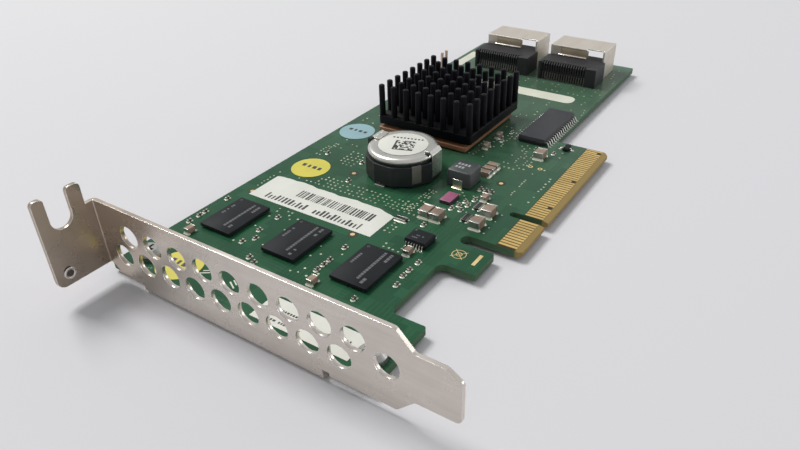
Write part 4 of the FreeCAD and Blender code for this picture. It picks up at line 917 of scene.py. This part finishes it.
def loose_solids(node_name):
    """Low and high corners, in millimetres, of each separate solid in a node. Every point
    takes the lowest number among its neighbours until nothing changes, so that the points
    of one solid share a number."""
    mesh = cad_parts[node_name].data
    corner, which = np.unique(np.round(points_of(node_name), 4), axis=0, return_inverse=True)
    links = np.empty(len(mesh.edges) * 2, dtype=np.int32)
    mesh.edges.foreach_get("vertices", links)
    links = which.ravel()[links].reshape(-1, 2)
    group, before = np.arange(len(corner)), None
    while before is None or (group != before).any():
        before = group.copy()
        lowest = group[links].min(1)
        np.minimum.at(group, links[:, 0], lowest)
        np.minimum.at(group, links[:, 1], lowest)
        group = group[group]
    return [(corner[group == g].min(0), corner[group == g].max(0)) for g in np.unique(group)]


def blocks_for(node_name, corner, bevel, over=0.0, under=99.0):
    """A soft block over each separate solid whose height lies between the two limits."""
    forms = []
    for low, high in loose_solids(node_name):
        if over <= high[2] < under:
            size = (high - low).min()
            levels = soft_levels(high[2] - low[2], min(bevel, size * 0.16))
            forms.append(rounded_block(low, high, min(corner, size * 0.3), levels, steps=3))
    return forms


small_height = 0.75
ceramic = plain_finish("ceramic_tan", (0.265, 0.190, 0.140), 0.42, vary=0.25)
new_piece("ceramic_blocks", blocks_for("capacitor_bodies", 0.12, 0.07, over=small_height), ceramic,
          ["capacitor_bodies"])
small_ceramic = plain_finish("small_ceramic", (0.060, 0.045, 0.036), 0.42, vary=0.3)
new_piece("small_ceramic_blocks", blocks_for("capacitor_bodies", 0.12, 0.05, under=small_height),
          small_ceramic)
resistor = plain_finish("resistor_glaze", (0.020, 0.020, 0.022), 0.32)
new_piece("resistor_blocks", blocks_for("resistor_arrays", 0.08, 0.04), resistor,
          ["resistor_arrays"])
new_piece("tinned_ends", blocks_for("chip_terminals", 0.10, 0.05, over=small_height), tin,
          ["chip_terminals"])
dull_tin = plain_finish("dull_tin", (0.33, 0.33, 0.29), 0.42, metallic=0.8, depth=0.000003,
                        vary=0.25)
new_piece("small_tinned_ends", blocks_for("chip_terminals", 0.10, 0.05, under=small_height),
          dull_tin)


def solder_fillets(boxes, reach, rise):
    """A concave apron of solder round each end's foot: rings that fall away from the wall."""
    levels = [(0.0, -reach), (0.16, -reach * 0.62), (0.45, -reach * 0.25), (1.0, 0.02)]
    forms = []
    for low, high in boxes:
        tall = min(rise, (high[2] - low[2]) * 0.55)
        forms.append(rounded_block((low[0], low[1], 0.004), (high[0], high[1], low[2] + tall),
                                   0.15, levels, steps=3))
    return forms


fillet_solder = plain_finish("fillet_solder", (0.70, 0.71, 0.60), 0.36, metallic=0.35,
                             depth=0.000004, vary=0.15)
new_piece("solder_aprons", solder_fillets(loose_solids("chip_terminals"), 0.26, 0.6),
          fillet_solder)

# ------------------------------------
# Chips with formed leads. Black moulded bodies with a parting line and drafted sides; the
# leads are tinned copper, each foot in its own spot of solder.


def moulded_body(node_name, corner, draft):
    """Two drafted halves that meet at a parting line half-way up."""
    low, high = box_mm(node_name)
    levels = [(0.0, draft + 0.05), (0.06, draft * 0.9), (0.47, 0.02), (0.5, 0.0), (0.53, 0.02),
              (0.90, draft), (0.97, draft + 0.05), (1.0, draft + 0.14)]
    return rounded_block(low, high, corner, levels)


sram_black = moulded_finish("wide_chip_moulding", (0.030, 0.031, 0.036), 0.48, 0.32)
for name, corner, draft, finish in (("wide_chip", 0.12, 0.14, sram_black),
                                    ("small_chip", 0.10, 0.12, chip_black),
                                    ("transistor", 0.06, 0.06, chip_black)):
    new_piece(f"{name}_moulding", [moulded_body(name, corner, draft)], finish, [name])
small_low, small_high = box_mm("small_chip")
wide_low, wide_high = box_mm("wide_chip")
small_top, wide_top = small_high[2] + mark_lift, wide_high[2] + mark_lift
flat_marks("chip_marks",
           dash_rows(small_low[0] + 0.9, small_low[1], small_top,
                     [(1.2, 0.1, 0.8), (2.1, 0.1, 0.8)], 3.2, 0.5, 0.12, True)
           + [disc_faces(wide_low[0] + 1.2, wide_low[1] + 1.3, wide_top, 0.45, 18, inner=0.8),
              disc_faces(small_low[0] + 0.7, small_high[1] - 0.7, small_top, 0.25, 14)],
           laser_grey)
lead_tin = plain_finish("lead_tin", (0.70, 0.69, 0.65), 0.3, metallic=0.85, depth=0.000003)
for name in ("wide_chip_leads", "small_chip_leads", "transistor_leads"):
    dress(name, lead_tin)


def foot_spots(node_name, out_axis, reach, width):
    """A flattened dome of solder at each lead's foot."""
    whole_low, whole_high = box_mm(node_name)
    half = np.array([width, width])
    half[out_axis] = reach
    forms = []
    for low, high in loose_solids(node_name):
        middle = (low + high) / 2
        outer = middle[out_axis] > (whole_low[out_axis] + whole_high[out_axis]) / 2
        middle[out_axis] = high[out_axis] - 0.3 if outer else low[out_axis] + 0.3
        forms.append(rounded_block((*(middle[:2] - half), 0.004), (*(middle[:2] + half), 0.13),
                                   width * 0.9, [(0.0, 0.0), (0.5, width * 0.2),
                                                 (1.0, width * 0.55)], steps=3))
    return forms


new_piece("lead_solder", foot_spots("wide_chip_leads", 0, 0.55, 0.27)
          + foot_spots("small_chip_leads", 1, 0.42, 0.17)
          + foot_spots("transistor_leads", 0, 0.5, 0.28), tin)

# ------------------------------------
# Storage ports. Black moulded housings with a comb of ribs between the contacts; round
# each mouth stands a cage of thin tinned steel with rolled folds and a cut window.

housing_black = moulded_finish("port_moulding", (0.020, 0.020, 0.023), 0.42, 0.34)
cage_tin = sheet_steel("cage_tin", (0.59, 0.53, 0.45), (0.68, 0.63, 0.56), 0.34,
                       (500.0, 80.0, 500.0), metallic=0.55)
# painted highlight: a paler, glossier finish on the cages' rounded edges and the latch lips, where
# the folds catch the light
cage_lip = plain_finish("cage_lip", (0.78, 0.74, 0.69), 0.28, metallic=0.6, depth=0.0000005)
# painted shade: the contacts' tin is painted dark for the shade under the housings
contact_tin_shaded = plain_finish("contact_tin_shaded", (0.20, 0.195, 0.18), 0.40, metallic=0.8)
# painted shade: the finger's tan is darkened for the shade behind the window
finger_tan_shaded = plain_finish("latch_finger", (0.47, 0.39, 0.27), 0.4, metallic=0.4)
contact_pitch, contact_count = 0.8, 18

# Outlines of a rib, the sill under the ribs and the bar over them, as (depth, height).
rib = [(0.35, 3.0), (2.75, 3.0), (2.75, 5.78), (1.0, 5.78), (0.35, 5.1)]
sill = [(0.9, 2.4), (2.75, 2.4), (2.75, 3.1), (0.9, 3.1)]
bar = [(1.55, 5.0), (2.75, 5.0), (2.75, 5.8), (1.55, 5.8)]
finger_levels = [(0.0, 0.03), (0.04, 0.0), (0.96, 0.0), (1.0, 0.03)]
lip_levels = [(0.0, 0.15), (0.4, 0.0), (0.7, 0.0), (1.0, 0.15)]

for port in (1, 2):
    bevelled_copy(f"port_housing_{port}", f"port_moulding_{port}", housing_black,
                  0.15)
    bevelled_copy(f"port_cage_{port}", f"port_folded_cage_{port}", cage_tin, 0.12,
                  edge=cage_lip)
    dress(f"port_contacts_{port}", contact_tin_shaded)
    housing_low = box_mm(f"port_housing_{port}")[0]
    near = np.array([housing_low[1], 0.0])
    rib_x = housing_low[0] + 1.5 + (np.arange(contact_count + 1) - 0.5) * contact_pitch
    comb = [prism(rib + near, 0, x - 0.17, x + 0.17) for x in rib_x]
    comb += [prism(outline + near, 0, rib_x[0] - 0.2, rib_x[-1] + 0.2) for outline in (sill, bar)]
    flat_marks(f"port_comb_{port}", comb, housing_black)
    # the latch finger behind the window, its tan darkened as painted shade, with its bright rolled
    # lip in the painted-highlight finish
    cage_low = box_mm(f"port_cage_{port}")[0]
    left, wall = cage_low[0] + 3.55, cage_low[1]
    finger = rounded_block((left, wall - 0.10, 6.3), (left + 9.0, wall + 0.05, 8.5), 0.2,
                           finger_levels)
    lip = rounded_block((left - 0.9, wall - 0.42, 5.85), (left + 8.6, wall + 0.05, 6.35), 0.2,
                        lip_levels)
    new_piece(f"port_latch_finger_{port}", [finger], finger_tan_shaded)
    new_piece(f"port_latch_lip_{port}", [lip], cage_lip)

# ------------------------------------
# Service header. Plated square pins pressed through an ivory moulded strip and the board
# behind the heat sink.

header_ivory = plain_finish("header_ivory", (0.56, 0.47, 0.40), 0.5, grain=5000.0)
block_piece("header_strip", "header_base", header_ivory, 0.25, 0.12)
dress("header_pins", plain_finish("pin_copper", (0.72, 0.52, 0.40), 0.35, metallic=0.6))

# ------------------------------------
# Labels. Matt paper with printed marks, all of them plain bars and dashes, and three round
# inspection stickers.

dress("notice_label", label_white)
paper_low, paper_high = box_mm("barcode_label")


def torn_strip(low, high, columns=60):
    """A thin paper strip with one long edge torn: that edge is a straight line plus three
    sine waves, falling off towards both ends."""
    share = np.linspace(0.0, 1.0, columns)
    x = low[0] + (high[0] - low[0]) * share
    wave = (0.28 * np.sin(share * 9.0 + 0.4) + 0.12 * np.sin(share * 31.0)
            + 0.07 * np.sin(share * 67.0))
    torn = high[1] - 0.25 + wave - 8.0 * np.abs(share - 0.45) ** 3
    straight = np.full(columns, low[1])
    rows = [(straight, low[2]), (torn, low[2]), (torn, high[2]), (straight, high[2])]
    verts = np.stack([np.stack([x, y, np.full(columns, z)], -1) for y, z in rows], 1)
    return verts.reshape(-1, 3), closed_bands(columns, 4)


new_piece("torn_paper_label", [torn_strip(paper_low, paper_high)], label_white,
          ["barcode_label"], smooth=0)
sticker_yellow = plain_finish("sticker_yellow", (0.58, 0.515, 0.070), 0.6, grain=2500.0, vary=0.05)
sticker_blue = plain_finish("sticker_blue", (0.255, 0.415, 0.450), 0.6, grain=2500.0, vary=0.05)
stickers = {"yellow_sticker_one": (sticker_yellow, 1.3),
            "yellow_sticker_two": (sticker_yellow, 1.3), "blue_sticker": (sticker_blue, 1.1)}
for name, (finish, tall) in stickers.items():
    dress(name, finish)

ink_lift = 0.012
paper_top = paper_high[2] + ink_lift
bar_start, bar_stop = -54.2, -33.2
bar_widths, place, bars = (0.2, 0.36, 0.54), bar_start, []
while place < bar_stop:
    width = bar_widths[shuffle.integers(3)]
    bars.append(slab_faces(place + width / 2, -17.55, paper_top, width, 3.0))
    place += width + bar_widths[shuffle.integers(3)]
# a second row of upright strokes, some of them short, stands on one line
tall_stroke, short_stroke = 2.25, 1.5
stroke_x = np.arange(-60.2, -33.0, 1.02)
stroke_wide = 0.34 + 0.34 * shuffle.random(len(stroke_x))
stroke_tall = np.where(shuffle.random(len(stroke_x)) < 0.7, tall_stroke, short_stroke)
kept = shuffle.random(len(stroke_x)) < 0.93
bars.append(slab_faces(stroke_x[kept], -21.8 - (tall_stroke - stroke_tall[kept]) / 2, paper_top,
                       stroke_wide[kept], stroke_tall[kept]))
flat_marks("barcode_bars", bars, ink_black)
notice_low, notice_high = box_mm("notice_label")
notice_lines = [(1.2, 0.0, 0.8), (2.6, 0.0, 0.9), (4.0, 0.0, 0.7)]
notice_bars = slab_faces(notice_high[0] - 2.2 - 0.9 * np.arange(4),
                         (notice_low[1] + notice_high[1]) / 2, paper_top,
                         [0.3, 0.5, 0.25, 0.4], 1.7)
flat_marks("notice_marks",
           dash_rows(notice_low[0] + 1.2, notice_low[1], paper_top, notice_lines, 12.0, 0.62, 0.2,
                     True) + [notice_bars], ink_black)
ink_blue = plain_finish("sticker_ink", (0.035, 0.037, 0.045), 0.6)
sticker_marks = []
for name, (finish, tall) in stickers.items():
    low, high = box_mm(name)
    middle = (low + high) / 2
    sticker_marks.append(slab_faces(middle[0] - 2.4 + 1.6 * np.arange(4), middle[1] + 0.5,
                                    high[2] + ink_lift, [1.0, 0.7, 1.05, 0.9], tall, 0.12))
flat_marks("sticker_marks", sticker_marks, ink_blue)

# ------------------------------------
# Stage, lights and camera. A plain pale sheet under the card, a soft main light from the
# left, and a low strip that catches the slanted edges.


def pale_floor():
    """Matt sheet with a slight drift of tone, painted shade for the light falling off across it.
    Far from the card it glows a little for camera, glossy and transmission rays, so that it
    stays pale up to the horizon."""
    material, tree, shader = new_material("pale_floor")
    place = coordinates(tree)
    # painted shade: the tone darkens one way across the sheet
    drift = node(tree, "ShaderNodeVectorMath", {"operation": "DOT_PRODUCT"}, i0=place,
                 i1=(0.9, -0.55, 0.0)).outputs["Value"]
    colour = blend(tree, ramp(tree, drift, -0.40, 0.0), rgb(0.575, 0.575, 0.585),
                   rgb(0.61, 0.605, 0.63))
    set_surface(tree, shader, colour, 0.9, specular=0.1)
    away = node(tree, "ShaderNodeVectorMath", {"operation": "LENGTH"}, i0=place).outputs["Value"]
    rays = tree.nodes.new("ShaderNodeLightPath").outputs
    seen = maths(tree, "MAXIMUM", rays["Is Camera Ray"],
                 maths(tree, "MAXIMUM", rays["Is Glossy Ray"], rays["Is Transmission Ray"]))
    glow = times(tree, ramp(tree, away, 0.35, 1.6), times(tree, seen, 0.24))
    shader.inputs["Emission Color"].default_value = rgb(1.0, 1.0, 1.02)
    tree.links.new(glow, shader.inputs["Emission Strength"])
    return material


reach, floor_height = 3.0, cad_box[0][2]
floor_mesh = bpy.data.meshes.new("floor")
floor_mesh.from_pydata([(-reach, -reach, floor_height), (reach, -reach, floor_height),
                        (reach, reach, floor_height), (-reach, reach, floor_height)], [],
                       [(0, 1, 2, 3)])
floor_mesh.materials.append(pale_floor())
floor = bpy.data.objects.new("floor", floor_mesh)
bpy.context.scene.collection.objects.link(floor)

world = bpy.data.worlds.new("studio")
bpy.context.scene.world = world
world.use_nodes = True
sky = world.node_tree
background = sky.nodes["Background"]
rise = ramp(sky, split(sky, coordinates(sky, "Generated"))[2], 0.0, 0.30)
feed(sky, blend(sky, rise, rgb(1.02, 1.02, 1.03), rgb(0.98, 0.99, 1.0)), background.inputs["Color"])
background.inputs["Strength"].default_value = 0.525


def soft_light(name, place, target, size, power, tint):
    """A square area light that faces its target."""
    data = bpy.data.lights.new(name, "AREA")
    data.size = size
    data.energy = power
    data.color = tint
    lamp = bpy.data.objects.new(name, data)
    aim = (Vector(target) - Vector(place)).to_track_quat("-Z", "Y")
    lamp.matrix_world = Matrix.Translation(place) @ aim.to_matrix().to_4x4()
    bpy.context.scene.collection.objects.link(lamp)


middle = ((cad_box[0][0] + cad_box[1][0]) / 2, (cad_box[0][1] + cad_box[1][1]) / 2, 0.0)
soft_light("left_softbox", (-0.85, 0.07, 1.13), middle, 0.50, 15.0, (1.0, 0.99, 0.97))
soft_light("rear_softbox", (0.10, 0.75, 0.45), middle, 0.5, 0.4, (0.97, 0.98, 1.0))
soft_light("right_low_strip", (0.75, 0.63, 0.26), middle, 0.30, 1.5, (1.0, 1.0, 1.0))

lens = bpy.data.cameras.new("camera")
lens.lens = 30.678
lens.sensor_width = 36.0
lens.clip_start = 0.005
camera = bpy.data.objects.new("camera", lens)
forward = Vector((-0.47637, 0.69431, -0.53944))
right = Vector((0.83273, 0.55319, -0.02336))
up = -Vector((0.28219, -0.46034, -0.84170))
turn = Matrix((right, up, -forward)).transposed()
camera.matrix_world = Matrix.Translation((0.043463, -0.118752, 0.079381)) @ turn.to_4x4()
bpy.context.scene.collection.objects.link(camera)
bpy.context.scene.camera = camera
bpy.context.scene.view_settings.view_transform = "Standard"
